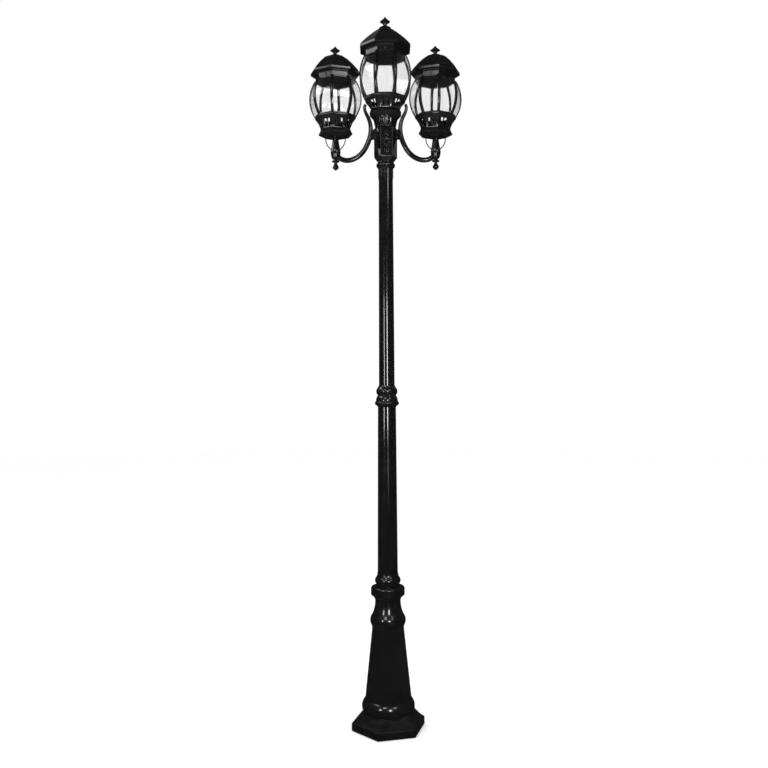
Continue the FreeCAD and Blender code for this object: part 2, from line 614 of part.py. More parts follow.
def basket(lantern):
    """Pierced gallery that flares from the tray to the cage, with two slots in every side."""
    shell = lantern.ring(basket_profile(lantern, 0.0)).cut(lantern.ring(basket_profile(lantern, BASKET_WALL)))
    high = SLOT_HIGH * lantern.basket_top / BASKET_HIGH
    opening = slot(SLOT_WIDTH, SLOT_LOW, SLOT_LOW + high, BASKET_RIM_RADIUS * lantern.wide)
    offset = (SLOT_WIDTH + SLOT_BAR) / 2
    cuts = []
    for index in range(SIDES):
        for side in (-offset, offset):
            one = opening.copy()
            one.translate(Vector(0, side, 0))
            cuts.append(spun(one, lantern.turn + WEDGE * (2 * index + 1)))
    return shell.cut(cuts)


def lampholder():
    """Screw lampholder that stands on the tray, inside the basket."""
    top = TRAY_THICK + HOLDER_HIGH
    body = turned(*raised(HOLDER_OUTLINE, TRAY_THICK))
    body = body.cut(rod(HOLDER_BORE, TRAY_THICK + HOLDER_FLOOR, top))
    return body.cut(rod(NIPPLE_RADIUS + FIT, TRAY_THICK, TRAY_THICK + NIPPLE_UP + FIT))


def lantern_nipple():
    """Threaded tube through stem, tray and lampholder."""
    low, high = -TRAY_DEEP - NIPPLE_DEEP, TRAY_THICK + NIPPLE_UP
    return rod(NIPPLE_RADIUS, low, high).cut(rod(NIPPLE_BORE, low, high))


def curved_band(lantern, scale, inner, outer, width):
    """Upright curved strip across +X: the panes' curve, between two distances from it."""
    foot = lantern.basket_top
    head = lantern.glass_high + RING_HIGH
    belly = foot + (head - foot) * BELLY_PLACE

    def curve(offset):
        points = [(GLASS_LOW, foot), (GLASS_BELLY, belly), (GLASS_HEAD, head)]
        low, middle, high = [Vector(x * lantern.wide * scale + offset, 0, z) for x, z in points]
        return Part.Arc(low, middle, high).toShape()

    outside, inside = curve(outer), curve(inner)
    caps = [Part.makeLine(outside.Vertexes[0].Point, inside.Vertexes[0].Point),
            Part.makeLine(outside.Vertexes[1].Point, inside.Vertexes[1].Point)]
    wire = Part.Wire(Part.__sortEdges__([outside, inside] + caps))
    strip = Part.Face(wire).extrude(Vector(0, width, 0))
    strip.translate(Vector(0, -width / 2, 0))
    return strip


def cage(lantern):
    """Eight curved ribs between a foot ring and a head ring, one casting."""
    low = lantern.basket_top
    head = lantern.glass_high
    foot_ring = lantern.ring([(low, BASKET_RIM_RADIUS), (lantern.glass_low, BASKET_RIM_RADIUS)])
    head_ring = lantern.ring([(head, BASKET_RIM_RADIUS), (head + RING_HIGH, BASKET_RIM_RADIUS)])
    lip = lantern.ring([(head + RING_HIGH, HEAD_RING_RADIUS), (lantern.cage_top, HEAD_RING_RADIUS)])
    hole = lantern.ring([(low, RING_INNER_RADIUS), (lantern.cage_top, RING_INNER_RADIUS)])
    corner = 1.0 / math.cos(math.radians(WEDGE))
    rib = curved_band(lantern, corner, -RIB_IN, RIB_OUT, RIB_WIDTH)
    ribs = [spun(rib, lantern.turn + 2 * WEDGE * index) for index in range(SIDES)]
    rings = foot_ring.fuse([head_ring, lip]).cut(hole)
    return rings.fuse(ribs).removeSplitter()


def panes(lantern):
    """Eight curved panes, each between two ribs and the two rings."""
    reach = 2 * GLASS_BELLY * lantern.wide
    half = math.radians(WEDGE)
    apex = (RIB_WIDTH / 2 + GLASS_GAP) / math.sin(half)
    low = lantern.glass_low + GLASS_GAP
    side = (reach - apex) * math.tan(half)
    corners = [Vector(apex, 0, low), Vector(reach, side, low), Vector(reach, -side, low), Vector(apex, 0, low)]
    wedge = Part.Face(Part.makePolygon(corners)).extrude(Vector(0, 0, lantern.glass_high - GLASS_GAP - low))
    band = curved_band(lantern, 1.0, -GLASS_THICK, 0.0, reach)
    pane = band.common(wedge)
    if pane.ShapeType == "Compound":
        pane = pane.Solids[0]
    return Part.makeCompound([spun(pane, lantern.turn + WEDGE * (2 * index + 1)) for index in range(SIDES)])


def roof(lantern):
    """Hollow eight-sided roof with a stepped skirt that covers the cage's head ring."""
    inner = HEAD_RING_RADIUS + SKIRT_INNER_GAP
    skirt = inner + SKIRT_WALL
    shelf = lantern.cage_top + LIFT_GAP
    at = lantern.roof_height
    outside = [(at(0.0), skirt), (at(SKIRT_HIGH), skirt)]
    step = [(at(SKIRT_HIGH), STEP_RADIUS), (at(EAVE_LOW), STEP_RADIUS)]
    eave = [(at(EAVE_LOW), EAVE_RADIUS), (at(EAVE_LOW + EAVE_EDGE), EAVE_RADIUS)]
    slope = [(at(z), radius) for z, radius in lantern.roof_profile]
    cap = [(slope[-1][0], CAP_FOOT_RADIUS), (at(CAP_TOP), CAP_RADIUS)]
    body = lantern.ring(outside).fuse([lantern.ring(step), lantern.roof_ring(eave + slope), lantern.ring(cap)])
    under = lantern.ring([(at(0.0), inner), (shelf, inner)])
    mouth = lantern.ring([(shelf, SHELF_RADIUS), (shelf + SHELF_THICK, SHELF_RADIUS)])
    attic_low = [(shelf + SHELF_THICK, SHELF_RADIUS),
                 (at(EAVE_LOW + EAVE_EDGE) - ATTIC_DROP, EAVE_RADIUS - ATTIC_EDGE)]
    attic_slope = [(z - ROOF_WALL, radius - ROOF_WALL) for z, radius in slope]
    attic = lantern.ring(attic_low + attic_slope)
    return body.cut([under, mouth, attic]).removeSplitter()


def finial(lantern):
    """Diamond finial on the roof's cap."""
    foot = lantern.roof_height(CAP_TOP)
    return lantern.ring([(foot + z * lantern.roof_tall, radius) for z, radius in FINIAL])


def roof_screws(lantern, gap):
    """Two screws through opposite sides of the skirt; gap widens them to their holes."""
    outer = apothem(HEAD_RING_RADIUS + SKIRT_INNER_GAP + SKIRT_WALL, SIDES) * lantern.wide
    inner = apothem(HEAD_RING_RADIUS + SKIRT_INNER_GAP, SIDES) * lantern.wide
    z = lantern.roof_height(0.0) + ROOF_SCREW_HEIGHT - LIFT_GAP
    screws = []
    for side in (0, 180):
        angle = lantern.turn - WEDGE - 90.0 + side
        shank = radial_rod(ROOF_SCREW_RADIUS + gap, inner - gap, outer, z, angle)
        head = radial_rod(ROOF_SCREW_HEAD, outer, outer + ROOF_SCREW_HEAD_THICK, z, angle)
        screws.append(shank if gap else shank.fuse(head).removeSplitter())
    return screws


# ---------------------------------------------------------------- the whole post
SIDE_SIZES = (1.0, (1.0, TRAY_FOOT_RADIUS), BASKET_HIGH, GLASS_HIGH, 1.0, 1.0, SIDE_ROOF_PROFILE)
TOP_SIZES = (TOP_LANTERN_WIDE, (TOP_TRAY_WIDE, TOP_TRAY_FOOT_RADIUS), TOP_BASKET_HIGH, TOP_GLASS_HIGH,
             TOP_ROOF_WIDE, TOP_ROOF_TALL, TOP_ROOF_PROFILE)
LANTERNS = [
    Lantern("left", -ARM_REACH, SIDE_TRAY_HEIGHT, -SIDE_TURN, *SIDE_SIZES),
    Lantern("top", 0.0, TOP_TRAY_HEIGHT, TOP_TURN, *TOP_SIZES),
    Lantern("right", ARM_REACH, SIDE_TRAY_HEIGHT, SIDE_TURN, *SIDE_SIZES),
]


def build_post():
    """Everything from the ground to the hub."""
    save("ground_plate", ground_plate())
    save("base_screws", base_screws())
    save("base_casting", base_casting())
    save("collar_screw", collar_screw(0.0))
    save("foot_ring", foot_ring())
    save("lower_post", lower_post())
    save("mid_joint", mid_joint())
    save("joint_screws", joint_screws())
    save("upper_post", upper_post())
    save("post_ferrule", post_ferrule())
    save("ferrule_screw", ferrule_screw(0.0))
    save("hub_casting", hub_casting())
    save("fluted_neck", fluted_neck())


def build_arms():
    """The two arms, what holds them, and the stems under the side lanterns."""
    for shape, side in zip(both_sides(arm(stem_outside())), ("right", "left")):
        save("arm_" + side, shape)
    save("arm_nipples", Part.makeCompound(both_sides(arm_nipple())))
    save("arm_nuts", Part.makeCompound(both_sides(arm_nut())))
    for side, x in (("left", -ARM_REACH), ("right", ARM_REACH)):
        save("stem_" + side, moved(stem(), x, SIDE_TRAY_HEIGHT))
        save("drop_finial_" + side, moved(drop_finial(), x, SIDE_TRAY_HEIGHT))
        save("braces_" + side, moved(braces(), x, SIDE_TRAY_HEIGHT))


def build_lantern(lantern):
    """All the pieces of one lantern, each in its own file."""
    holed_roof = roof(lantern).cut(roof_screws(lantern, FIT))
    pieces = {
        "tray": tray(lantern),
        "basket": basket(lantern),
        "lampholder": lampholder(),
        "nipple": lantern_nipple(),
        "cage": cage(lantern),
        "panes": panes(lantern),
        "roof": holed_roof,
        "finial": finial(lantern),
        "roof_screws": Part.makeCompound(roof_screws(lantern, 0.0)),
    }
    for piece, shape in pieces.items():
        save(piece + "_" + lantern.name, moved(shape, lantern.x, lantern.height))


build_post()
build_arms()
for each in LANTERNS:
    build_lantern(each)
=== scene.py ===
import math

import bmesh
import bpy
from mathutils import Matrix, Vector


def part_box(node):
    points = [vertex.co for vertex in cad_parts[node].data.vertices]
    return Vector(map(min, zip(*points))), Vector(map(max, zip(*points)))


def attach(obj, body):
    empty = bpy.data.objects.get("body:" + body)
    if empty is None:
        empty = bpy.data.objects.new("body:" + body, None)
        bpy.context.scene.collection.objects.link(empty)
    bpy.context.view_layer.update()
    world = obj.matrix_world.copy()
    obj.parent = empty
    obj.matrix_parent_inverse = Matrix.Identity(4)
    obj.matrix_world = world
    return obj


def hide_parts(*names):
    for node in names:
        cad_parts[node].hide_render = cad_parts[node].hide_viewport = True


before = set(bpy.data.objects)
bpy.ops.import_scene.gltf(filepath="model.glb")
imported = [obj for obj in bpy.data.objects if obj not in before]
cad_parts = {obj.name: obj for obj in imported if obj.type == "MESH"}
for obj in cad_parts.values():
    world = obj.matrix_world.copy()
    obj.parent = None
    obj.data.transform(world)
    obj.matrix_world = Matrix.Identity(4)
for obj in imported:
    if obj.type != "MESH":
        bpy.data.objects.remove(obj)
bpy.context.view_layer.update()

# ------------------------ ground plate
# The six-sided plate of hot-dip galvanised steel that is bolted to the footing inside the foot.
# It is cut from 5 mm sheet, so it keeps its solid, and the zinc shows large dull crystals.
MM = 0.001


def node_of(tree, kind, settings=None, **values):
    """A shader or geometry node with its settings and the values of its free inputs."""
    node = tree.nodes.new(kind)
    for name, value in (settings or {}).items():
        setattr(node, name, value)
    for name, value in values.items():
        node.inputs[name.replace("_", " ")].default_value = value
    return node


def join(tree, *ties):
    """Links nodes; each tie holds a node, its output, the next node and its input."""
    for source, output, target, place in ties:
        tree.links.new(source.outputs[output], target.inputs[place])


def empty_material(name, kind="ShaderNodeBsdfPrincipled", **values):
    """A material that holds only its last shader; gives the material, its tree and the shader."""
    material = bpy.data.materials.new(name)
    material.use_nodes = True
    tree = material.node_tree
    tree.nodes.clear()
    surface = node_of(tree, kind, **values)
    join(tree, (surface, 0, node_of(tree, "ShaderNodeOutputMaterial"), "Surface"))
    return material, tree, surface


def ramp(tree, low, high, start=0.0, end=1.0):
    """A node that turns values from start to end into values from low to high."""
    return node_of(tree, "ShaderNodeMapRange", From_Min=start, From_Max=end, To_Min=low, To_Max=high)


def reckon(tree, kind, second=None, third=None):
    """A node that reckons with its first input and, where given, with fixed numbers."""
    node = node_of(tree, "ShaderNodeMath", {"operation": kind})
    for place, number in ((1, second), (2, third)):
        if number is not None:
            node.inputs[place].default_value = number
    return node


def texture(tree, stretch=None, kind="ShaderNodeTexNoise", **values):
    """A texture in the piece's own space, drawn out along Z by a small stretch."""
    made = node_of(tree, kind, **values)
    place = node_of(tree, "ShaderNodeTexCoord").outputs["Object"]
    if stretch:
        along = node_of(tree, "ShaderNodeMapping", Scale=(1.0, 1.0, stretch))
        tree.links.new(place, along.inputs["Vector"])
        place = along.outputs[0]
    tree.links.new(place, made.inputs["Vector"])
    return made


def paint_node(node, material):
    """Gives a piece that keeps its CAD solid its real finish."""
    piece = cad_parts[node]
    if not piece.material_slots:
        piece.data.materials.append(material)
    for place in piece.material_slots:
        place.material = material


def galvanised_steel():
    """Zinc crystals some 6 mm across, each with its own shade, under a dull skin."""
    material, tree, surface = empty_material("galvanised_steel", Metallic=1.0)
    crystals = texture(tree, kind="ShaderNodeTexVoronoi", Scale=160.0)
    split = node_of(tree, "ShaderNodeSeparateColor")
    shade, dull = ramp(tree, 0.30, 0.52), ramp(tree, 0.42, 0.6)
    join(tree, (crystals, "Color", split, 0), (split, 0, shade, "Value"), (split, 1, dull, "Value"),
         (shade, 0, surface, "Base Color"), (dull, 0, surface, "Roughness"))
    return material


paint_node("ground_plate", galvanised_steel())

# ------------------------ base casting
# The hollow cast aluminium base: a six-sided foot and pedestal, a round bulge between them, and
# turned rings and a collar on top. It is powder coated gloss black, which softens every edge.
BASE_TURN = math.radians(14.0)
CAST_SOFT = 1.6 * MM         # how round the coat leaves an edge
ROUND = 96                   # points round a turned piece
BASE_HEX = [(127.0, 0.0), (127.0, 26.0), (113.0, 35.0), (88.0, 61.0), (80.8, 61.0), (80.8, 101.5),
            (55.2, 340.0), (49.2, 338.0), (74.8, 101.5), (82.0, 55.0), (117.0, 20.0), (117.0, 0.0)]
BASE_BULGE = [(84.0, 50.0), (84.0, 57.5), (89.2, 78.0, 77.5, 101.5), (66.0, 101.5), (66.0, 50.0)]
BASE_RINGS = [(54.5, 338.0), (54.5, 346.0), (60.1, 366.0, 56.5, 379.0), (52.5, 385.0),
              (45.1, 408.0, 43.3, 424.0), (46.3, 440.0, 54.0, 447.5), (57.0, 450.0), (57.0, 470.0),
              (55.4, 474.8, 50.0, 478.0), (38.5, 480.0), (34.2, 480.0), (34.2, 440.0), (31.0, 440.0),
              (31.0, 338.0)]


def empty_tree(name, kind, inputs, outputs):
    """A node tree with named sockets; gives the tree, its input node and its output node."""
    tree = bpy.data.node_groups.new(name, kind)
    for in_out, sockets in (("INPUT", inputs), ("OUTPUT", outputs)):
        for socket, holds in sockets:
            tree.interface.new_socket(socket, in_out=in_out, socket_type="NodeSocket" + holds)
    return tree, node_of(tree, "NodeGroupInput"), node_of(tree, "NodeGroupOutput")


def grain_effect():
    """Group: the orange peel of a sprayed coat, as a height in metres and a shade from 0 to 1."""
    group, inside, outside = empty_tree(
        "coat_grain", "ShaderNodeTree", [("Size", "Float"), ("Depth", "Float")],
        [("Height", "Float"), ("Shade", "Float")])
    peel = texture(group, Detail=3.0, Roughness=0.45)
    broad = texture(group, Scale=14.0, Detail=4.0, Roughness=0.6)
    height = reckon(group, "MULTIPLY")
    join(group, (inside, "Size", peel, "Scale"), (peel, 0, height, 0), (inside, "Depth", height, 1),
         (height, 0, outside, "Height"), (broad, 0, outside, "Shade"))
    return group


def dust_effect():
    """Group: pale dust on what faces up, thicker in patches; puts out a colour and its cover."""
    group, inside, outside = empty_tree(
        "settled_dust", "ShaderNodeTree", [("Colour", "Color"), ("Amount", "Float")],
        [("Colour", "Color"), ("Cover", "Float")])
    facing = node_of(group, "ShaderNodeNewGeometry")
    split = node_of(group, "ShaderNodeSeparateXYZ")
    patches = texture(group, Scale=55.0, Detail=5.0, Roughness=0.7)
    up, thick = ramp(group, 0.0, 1.0, 0.25, 1.0), ramp(group, 0.0, 1.0, 0.35, 0.7)
    both, cover = reckon(group, "MULTIPLY"), reckon(group, "MULTIPLY")
    mixed = node_of(group, "ShaderNodeMix", {"data_type": "RGBA"})
    mixed.inputs[7].default_value = (0.30, 0.28, 0.25, 1.0)
    join(group, (facing, "Normal", split, 0), (split, "Z", up, "Value"), (patches, 0, thick, "Value"),
         (up, 0, both, 0), (thick, 0, both, 1), (both, 0, cover, 0), (inside, "Amount", cover, 1),
         (cover, 0, mixed, "Factor"), (inside, "Colour", mixed, 6), (mixed, 2, outside, "Colour"),
         (cover, 0, outside, "Cover"))
    return group


COAT_GRAIN = grain_effect()
SETTLED_DUST = dust_effect()


def blend(tree, low, high):
    """A node that blends two colours."""
    mixed = node_of(tree, "ShaderNodeMix", {"data_type": "RGBA"})
    mixed.inputs[6].default_value, mixed.inputs[7].default_value = (*low, 1.0), (*high, 1.0)
    return mixed


def black_coat(name, grain_size, grain_depth, dull, dust):
    """Gloss black powder coat, thin and dull under a piece; dull is the range of its roughness."""
    material, tree, surface = empty_material(name, Coat_Roughness=0.05)
    grain = node_of(tree, "ShaderNodeGroup", {"node_tree": COAT_GRAIN}, Size=grain_size, Depth=grain_depth)
    black = blend(tree, (0.0025, 0.0025, 0.0027), (0.0060, 0.0060, 0.0063))
    dusty = node_of(tree, "ShaderNodeGroup", {"node_tree": SETTLED_DUST}, Amount=dust)
    gloss = ramp(tree, *dull, 0.3, 0.7)
    skin = node_of(tree, "ShaderNodeBump", Strength=1.0, Distance=1.0)
    facing = node_of(tree, "ShaderNodeNewGeometry")
    upright = node_of(tree, "ShaderNodeSeparateXYZ")
    thin, coat = ramp(tree, 0.0, 0.6, -0.35, -0.65), ramp(tree, 0.35, 0.0, -0.35, -0.65)
    rough, duller = reckon(tree, "ADD"), reckon(tree, "ADD")
    join(tree, (facing, "Normal", upright, 0), (upright, "Z", thin, "Value"), (upright, "Z", coat, "Value"),
         (thin, 0, duller, 1), (coat, 0, surface, "Coat Weight"), (grain, "Shade", black, "Factor"),
         (black, 2, dusty, "Colour"), (dusty, "Colour", surface, "Base Color"),
         (grain, "Shade", gloss, "Value"), (gloss, 0, rough, 0), (dusty, "Cover", rough, 1),
         (rough, 0, duller, 0), (duller, 0, surface, "Roughness"), (grain, "Height", skin, "Height"),
         (skin, 0, surface, "Normal"))
    return material


CAST_BLACK = black_coat("cast_black", 420.0, 0.000003, (0.14, 0.24), 0.02)
CASTING = (CAST_BLACK, "black_casting")


def with_arcs(outline):
    """Points of an outline in metres; a four-number step is an arc through its first pair."""
    points = [Vector(outline[0]) * MM]
    for step in outline[1:]:
        start, end = points[-1], Vector(step[-2:]) * MM
        if len(step) == 4:
            way = Vector(step[:2]) * MM
            first, second = way - start, end - start
            cross = 2.0 * (first.x * second.y - first.y * second.x)
            middle = Vector((second.y * first.length_squared - first.y * second.length_squared,
                             first.x * second.length_squared - second.x * first.length_squared)) / cross
            radius = middle.length
            centre = start + middle
            angles = [math.atan2(p.y - centre.y, p.x - centre.x) for p in (start, way, end)]
            sweep = (angles[2] - angles[0]) % math.tau
            if (angles[1] - angles[0]) % math.tau > sweep:
                sweep -= math.tau
            count = max(4, round(abs(sweep) * radius / (1.5 * MM)))
            for index in range(1, count):
                angle = angles[0] + sweep * index / count
                points.append(centre + Vector((math.cos(angle), math.sin(angle))) * radius)
        points.append(end)
    return points


def softened(points, soft, loop):
    """The outline with every sharp corner rounded off."""
    rounded = []
    count = len(points)
    for index, corner in enumerate(points):
        if not loop and index in (0, count - 1):
            rounded.append(corner)
            continue
        back, ahead = points[index - 1] - corner, points[(index + 1) % count] - corner
        if back.length < 1e-9 or ahead.length < 1e-9:
            continue
        turn = math.pi - back.angle(ahead)
        if turn < math.radians(14.0):
            rounded.append(corner)
            continue
        cut = min(soft * math.tan(turn / 2.0), 0.42 * back.length, 0.42 * ahead.length)
        start, end = corner + back.normalized() * cut, corner + ahead.normalized() * cut
        for share in (0.0, 0.3, 0.7, 1.0):
            rounded.append((start.lerp(corner, share)).lerp(corner.lerp(end, share), share))
    return rounded


def level_ring(sides, radius, height, turn, soft, centre):
    """Points of a level circle, or of a polygon with rounded corners."""
    x, y = centre
    if not sides:
        angles = [math.tau * index / ROUND for index in range(ROUND)]
        return [Vector((x + radius * math.cos(a), y + radius * math.sin(a), height)) for a in angles]
    half = math.pi / sides
    bend = min(soft, 0.5 * radius)
    points = []
    for index in range(sides):
        corner = turn + 2.0 * half * index
        reach = radius - bend / math.cos(half)
        for share in (-1.0, -0.35, 0.35, 1.0):
            angle = corner + half * share
            points.append(Vector((x + reach * math.cos(corner) + bend * math.cos(angle),
                                  y + reach * math.sin(corner) + bend * math.sin(angle), height)))
    return points


def add_rings(mesh, rings, loop):
    """Skins a row of rings with the same number of points; open ends are closed with a face."""
    rows = [[mesh.verts.new(point) for point in ring] for ring in rings]
    count = len(rows[0])
    pairs = list(zip(rows, rows[1:]))
    if loop:
        pairs.append((rows[-1], rows[0]))
    for below, above in pairs:
        for index in range(count):
            after = (index + 1) % count
            mesh.faces.new((below[index], below[after], above[after], above[index]))
    if not loop:
        mesh.faces.new(list(reversed(rows[0])))
        mesh.faces.new(rows[-1])


def add_shell(mesh, outline, sides=0, turn=0.0, soft=CAST_SOFT, loop=True, centre=(0.0, 0.0), lift=0.0,
              wide=1.0):
    """Adds a turned or many-sided shell; the outline holds (radius, height) in millimetres."""
    points = softened(with_arcs(outline), soft, loop)
    rings = [level_ring(sides, max(p.x * wide, 1e-7), p.y + lift, turn, soft, centre) for p in points]
    add_rings(mesh, rings, loop)


def even_shading(piece):
    """Smooth shading that leaves broad faces flat, with its modifier turned into plain mesh."""
    piece.data.shade_smooth()
    piece.modifiers.new("even_shading", "WEIGHTED_NORMAL").weight = 80
    settle(piece)


def settle(piece):
    """Turns a piece's modifiers into plain mesh."""
    graph = bpy.context.evaluated_depsgraph_get()
    mesh = bpy.data.meshes.new_from_object(piece.evaluated_get(graph))
    piece.modifiers.clear()
    piece.data = mesh


def add_object(name, data):
    """Puts a new object into the scene."""
    made = bpy.data.objects.new(name, data)
    bpy.context.scene.collection.objects.link(made)
    return made


def new_piece(name, mesh):
    """Turns collected faces into an object, with its faces outwards."""
    bmesh.ops.remove_doubles(mesh, verts=mesh.verts, dist=1e-6)
    bmesh.ops.recalc_face_normals(mesh, faces=mesh.faces)
    data = bpy.data.meshes.new(name)
    mesh.to_mesh(data)
    mesh.free()
    return add_object(name, data)


def dress(piece, look, body, *nodes):
    """Gives a piece its look, its body and the nodes that it stands for."""
    material, slot = look
    piece.data.materials.clear()
    piece.data.materials.append(material)
    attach(piece, body)
    if nodes:
        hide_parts(*nodes)


def add_piece(name, mesh, look, body, *nodes):
    """Turns collected faces into an evenly shaded and dressed piece."""
    piece = new_piece(name, mesh)
    even_shading(piece)
    dress(piece, look, body, *nodes)


def shell_piece(name, look, body, nodes, outline, **shape):
    """Makes a piece out of one shell."""
    mesh = bmesh.new()
    add_shell(mesh, outline, **shape)
    add_piece(name, mesh, look, body, *nodes)


base = bmesh.new()
add_shell(base, BASE_HEX, 6, BASE_TURN)
add_shell(base, BASE_BULGE)
add_shell(base, BASE_RINGS)
add_piece("base_casting_coated", base, CASTING, "post", "base_casting")

# ------------------------ grub screws of the base and post
# Headless hexagon socket screws of blackened steel, M8 in the foot and M6 in the rings, screwed in
# flush from the side. Nodes set one screw on each place and turn it to face outwards.
SCREW_SOCKET = 0.5           # width of the hexagon socket against the screw


def shape_tree(name, **sockets):
    """A geometry tree that paints its result; gives the tree, its input node and the painting node."""
    sockets = [(socket.replace("_", " "), holds) for socket, holds in sockets.items()]
    tree, inside, outside = empty_tree(
        name, "GeometryNodeTree", [("Geometry", "Geometry"), *sockets, ("Finish", "Material")],
        [("Geometry", "Geometry")])
    painted = node_of(tree, "GeometryNodeSetMaterial")
    join(tree, (inside, "Finish", painted, "Material"), (painted, 0, outside, "Geometry"))
    return tree, inside, painted


def screw_nodes():
    """Node tree: a socket screw on each point, its axis along the point's facing."""
    tree, inside, painted = shape_tree(
        "socket_screws", Shank_Radius="Float", Length="Float", Head_Radius="Float", Head_Height="Float",
        Socket_Radius="Float")

    def rod(corners, radius, length):
        made = node_of(tree, "GeometryNodeMeshCylinder", Vertices=corners)
        join(tree, (inside, radius, made, "Radius"), (inside, length, made, "Depth"))
        return made

    def raised(piece, size, share):
        high, place = reckon(tree, "MULTIPLY", share), node_of(tree, "ShaderNodeCombineXYZ")
        moved = node_of(tree, "GeometryNodeTransform")
        join(tree, (inside, size, high, 0), (high, 0, place, "Z"), (piece, 0, moved, "Geometry"),
             (place, 0, moved, "Translation"))
        return moved

    head = raised(rod(32, "Head Radius", "Head Height"), "Head Height", -0.5)
    socket = raised(rod(6, "Socket Radius", "Head Height"), "Head Height", 0.1)
    shank = raised(raised(rod(24, "Shank Radius", "Length"), "Length", -0.5), "Head Height", -0.98)
    cut = node_of(tree, "GeometryNodeMeshBoolean", {"operation": "DIFFERENCE", "solver": "EXACT"})
    whole = node_of(tree, "GeometryNodeJoinGeometry")
    facing = node_of(tree, "GeometryNodeInputNamedAttribute", {"data_type": "FLOAT_VECTOR"}, Name="facing")
    turned = node_of(tree, "FunctionNodeAlignRotationToVector", {"axis": "Z"})
    spread = node_of(tree, "GeometryNodeInstanceOnPoints")
    real = node_of(tree, "GeometryNodeRealizeInstances")
    join(tree, (head, 0, cut, 0), (socket, 0, cut, 1), (cut, 0, whole, 0), (shank, 0, whole, 0),
         (facing, 0, turned, "Vector"), (inside, "Geometry", spread, "Points"), (whole, 0, spread, "Instance"),
         (turned, 0, spread, "Rotation"), (spread, 0, real, 0), (real, 0, painted, "Geometry"))
    return tree


def clouded(name, scale, detail, low, high, dull):
    """A metal that varies in small clouds between two colours and over a range of roughness."""
    material, tree, surface = empty_material(name, Metallic=1.0)
    clouds = texture(tree, Scale=scale, Detail=detail)
    colour, rough = blend(tree, low, high), ramp(tree, *dull)
    join(tree, (clouds, 0, colour, "Factor"), (clouds, 0, rough, "Value"), (colour, 2, surface, "Base Color"),
         (rough, 0, surface, "Roughness"))
    return material


SOCKET_SCREWS = screw_nodes()
# oiled black oxide, a little uneven
BLACK_STEEL = clouded("blackened_steel", 900.0, 2.0, (0.05, 0.05, 0.05), (0.11, 0.11, 0.11), (0.28, 0.45))


def set_inputs(piece, tree, values):
    """Adds a node tree to a piece and sets its named inputs by their identifiers."""
    modifier = piece.modifiers.new(tree.name, "NODES")
    modifier.node_group = tree
    for item in tree.interface.items_tree:
        if item.in_out == "INPUT" and item.name in values:
            modifier[item.identifier] = values[item.name]


def screws(name, places, sizes, body, node):
    """Screws at (end of the head, facing) places, which stand for a node."""
    mesh = bpy.data.meshes.new(name)
    mesh.from_pydata([tuple(point) for point, facing in places], [], [])
    facings = mesh.attributes.new("facing", "FLOAT_VECTOR", "POINT")
    for index, (point, facing) in enumerate(places):
        facings.data[index].vector = facing
    piece = add_object(name, mesh)
    radius, length, head_radius, head_height = [size * MM for size in sizes]
    set_inputs(piece, SOCKET_SCREWS, {
        "Shank Radius": radius, "Length": length, "Head Radius": head_radius, "Head Height": head_height,
        "Socket Radius": head_radius * SCREW_SOCKET, "Finish": BLACK_STEEL})
    settle(piece)
    dress(piece, (BLACK_STEEL, "screw_steel"), body, node)


def facing_from(angle):
    """Level direction at an angle from +X."""
    return Vector((math.cos(angle), math.sin(angle), 0.0))


# each screw: radius and length of its shank, radius and height of its head
FOOT_SCREW, COLLAR_SCREW = (4.0, 8.0, 4.0, 5.0), (3.0, 15.0, 3.0, 4.0)
JOINT_SCREW, FERRULE_SCREW = (3.0, 3.0, 3.0, 3.0), (3.0, 0.5, 3.0, 2.0)
FOOT_SINK = 1.5 * MM         # how deep the foot's screws lie in their holes
STEP_BACK = 1.5 * MM         # the joint is this much slimmer at its upper screw
BACK, FRONT = Vector((0.0, 1.0, 0.0)), Vector((0.0, -1.0, 0.0))

foot_low, foot_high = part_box("base_screws")
foot_side = BASE_TURN + math.pi / 6.0
foot_reach = max(foot_high.x / math.cos(foot_side), foot_high.y / math.sin(foot_side)) - FOOT_SINK
foot_height = Vector((0, 0, (foot_low.z + foot_high.z) / 2.0))
foot_outs = [facing_from(foot_side + half_turn) for half_turn in (0.0, math.pi)]
screws("foot_grub_screws", [(out * foot_reach + foot_height, out) for out in foot_outs], FOOT_SCREW,
       "post", "base_screws")
low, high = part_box("collar_screw")
screws("collar_grub_screw", [(Vector((0.0, high.y, (low.z + high.z) / 2.0)), BACK)], COLLAR_SCREW,
       "post", "collar_screw")
low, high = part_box("joint_screws")
half = JOINT_SCREW[0] * MM
joint_places = [(Vector((0.0, high.y, low.z + half)), BACK),
                (Vector((0.0, high.y - STEP_BACK, high.z - half)), BACK)]
screws("joint_grub_screws", joint_places, JOINT_SCREW, "post", "joint_screws")
low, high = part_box("ferrule_screw")
screws("ferrule_grub_screw", [(Vector((0.0, low.y, (low.z + high.z) / 2.0)), FRONT)], FERRULE_SCREW,
       "post", "ferrule_screw")

# ------------------------ foot ring
# A turned and coated aluminium ring that drops over the lower tube and hides its socket.
RING_OUTLINE = [(38.5, 0.0), (38.5, 6.0), (43.3, 18.5, 39.4, 28.0), (37.6, 31.0), (35.6, 36.0, 35.4, 44.0),
                (34.2, 44.0), (34.2, 0.0)]
shell_piece("foot_ring_coated", CASTING, "post", ["foot_ring"], RING_OUTLINE, soft=1.0 * MM,
            lift=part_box("foot_ring")[0].z)

# ------------------------ lower and upper post
# Two tapered aluminium tubes, spun and drawn, so their gloss is smoother than the castings' and
# faint lines run along them. The lower one stands in the base, the upper one in the joint.
TUBE_WALL = 2.5


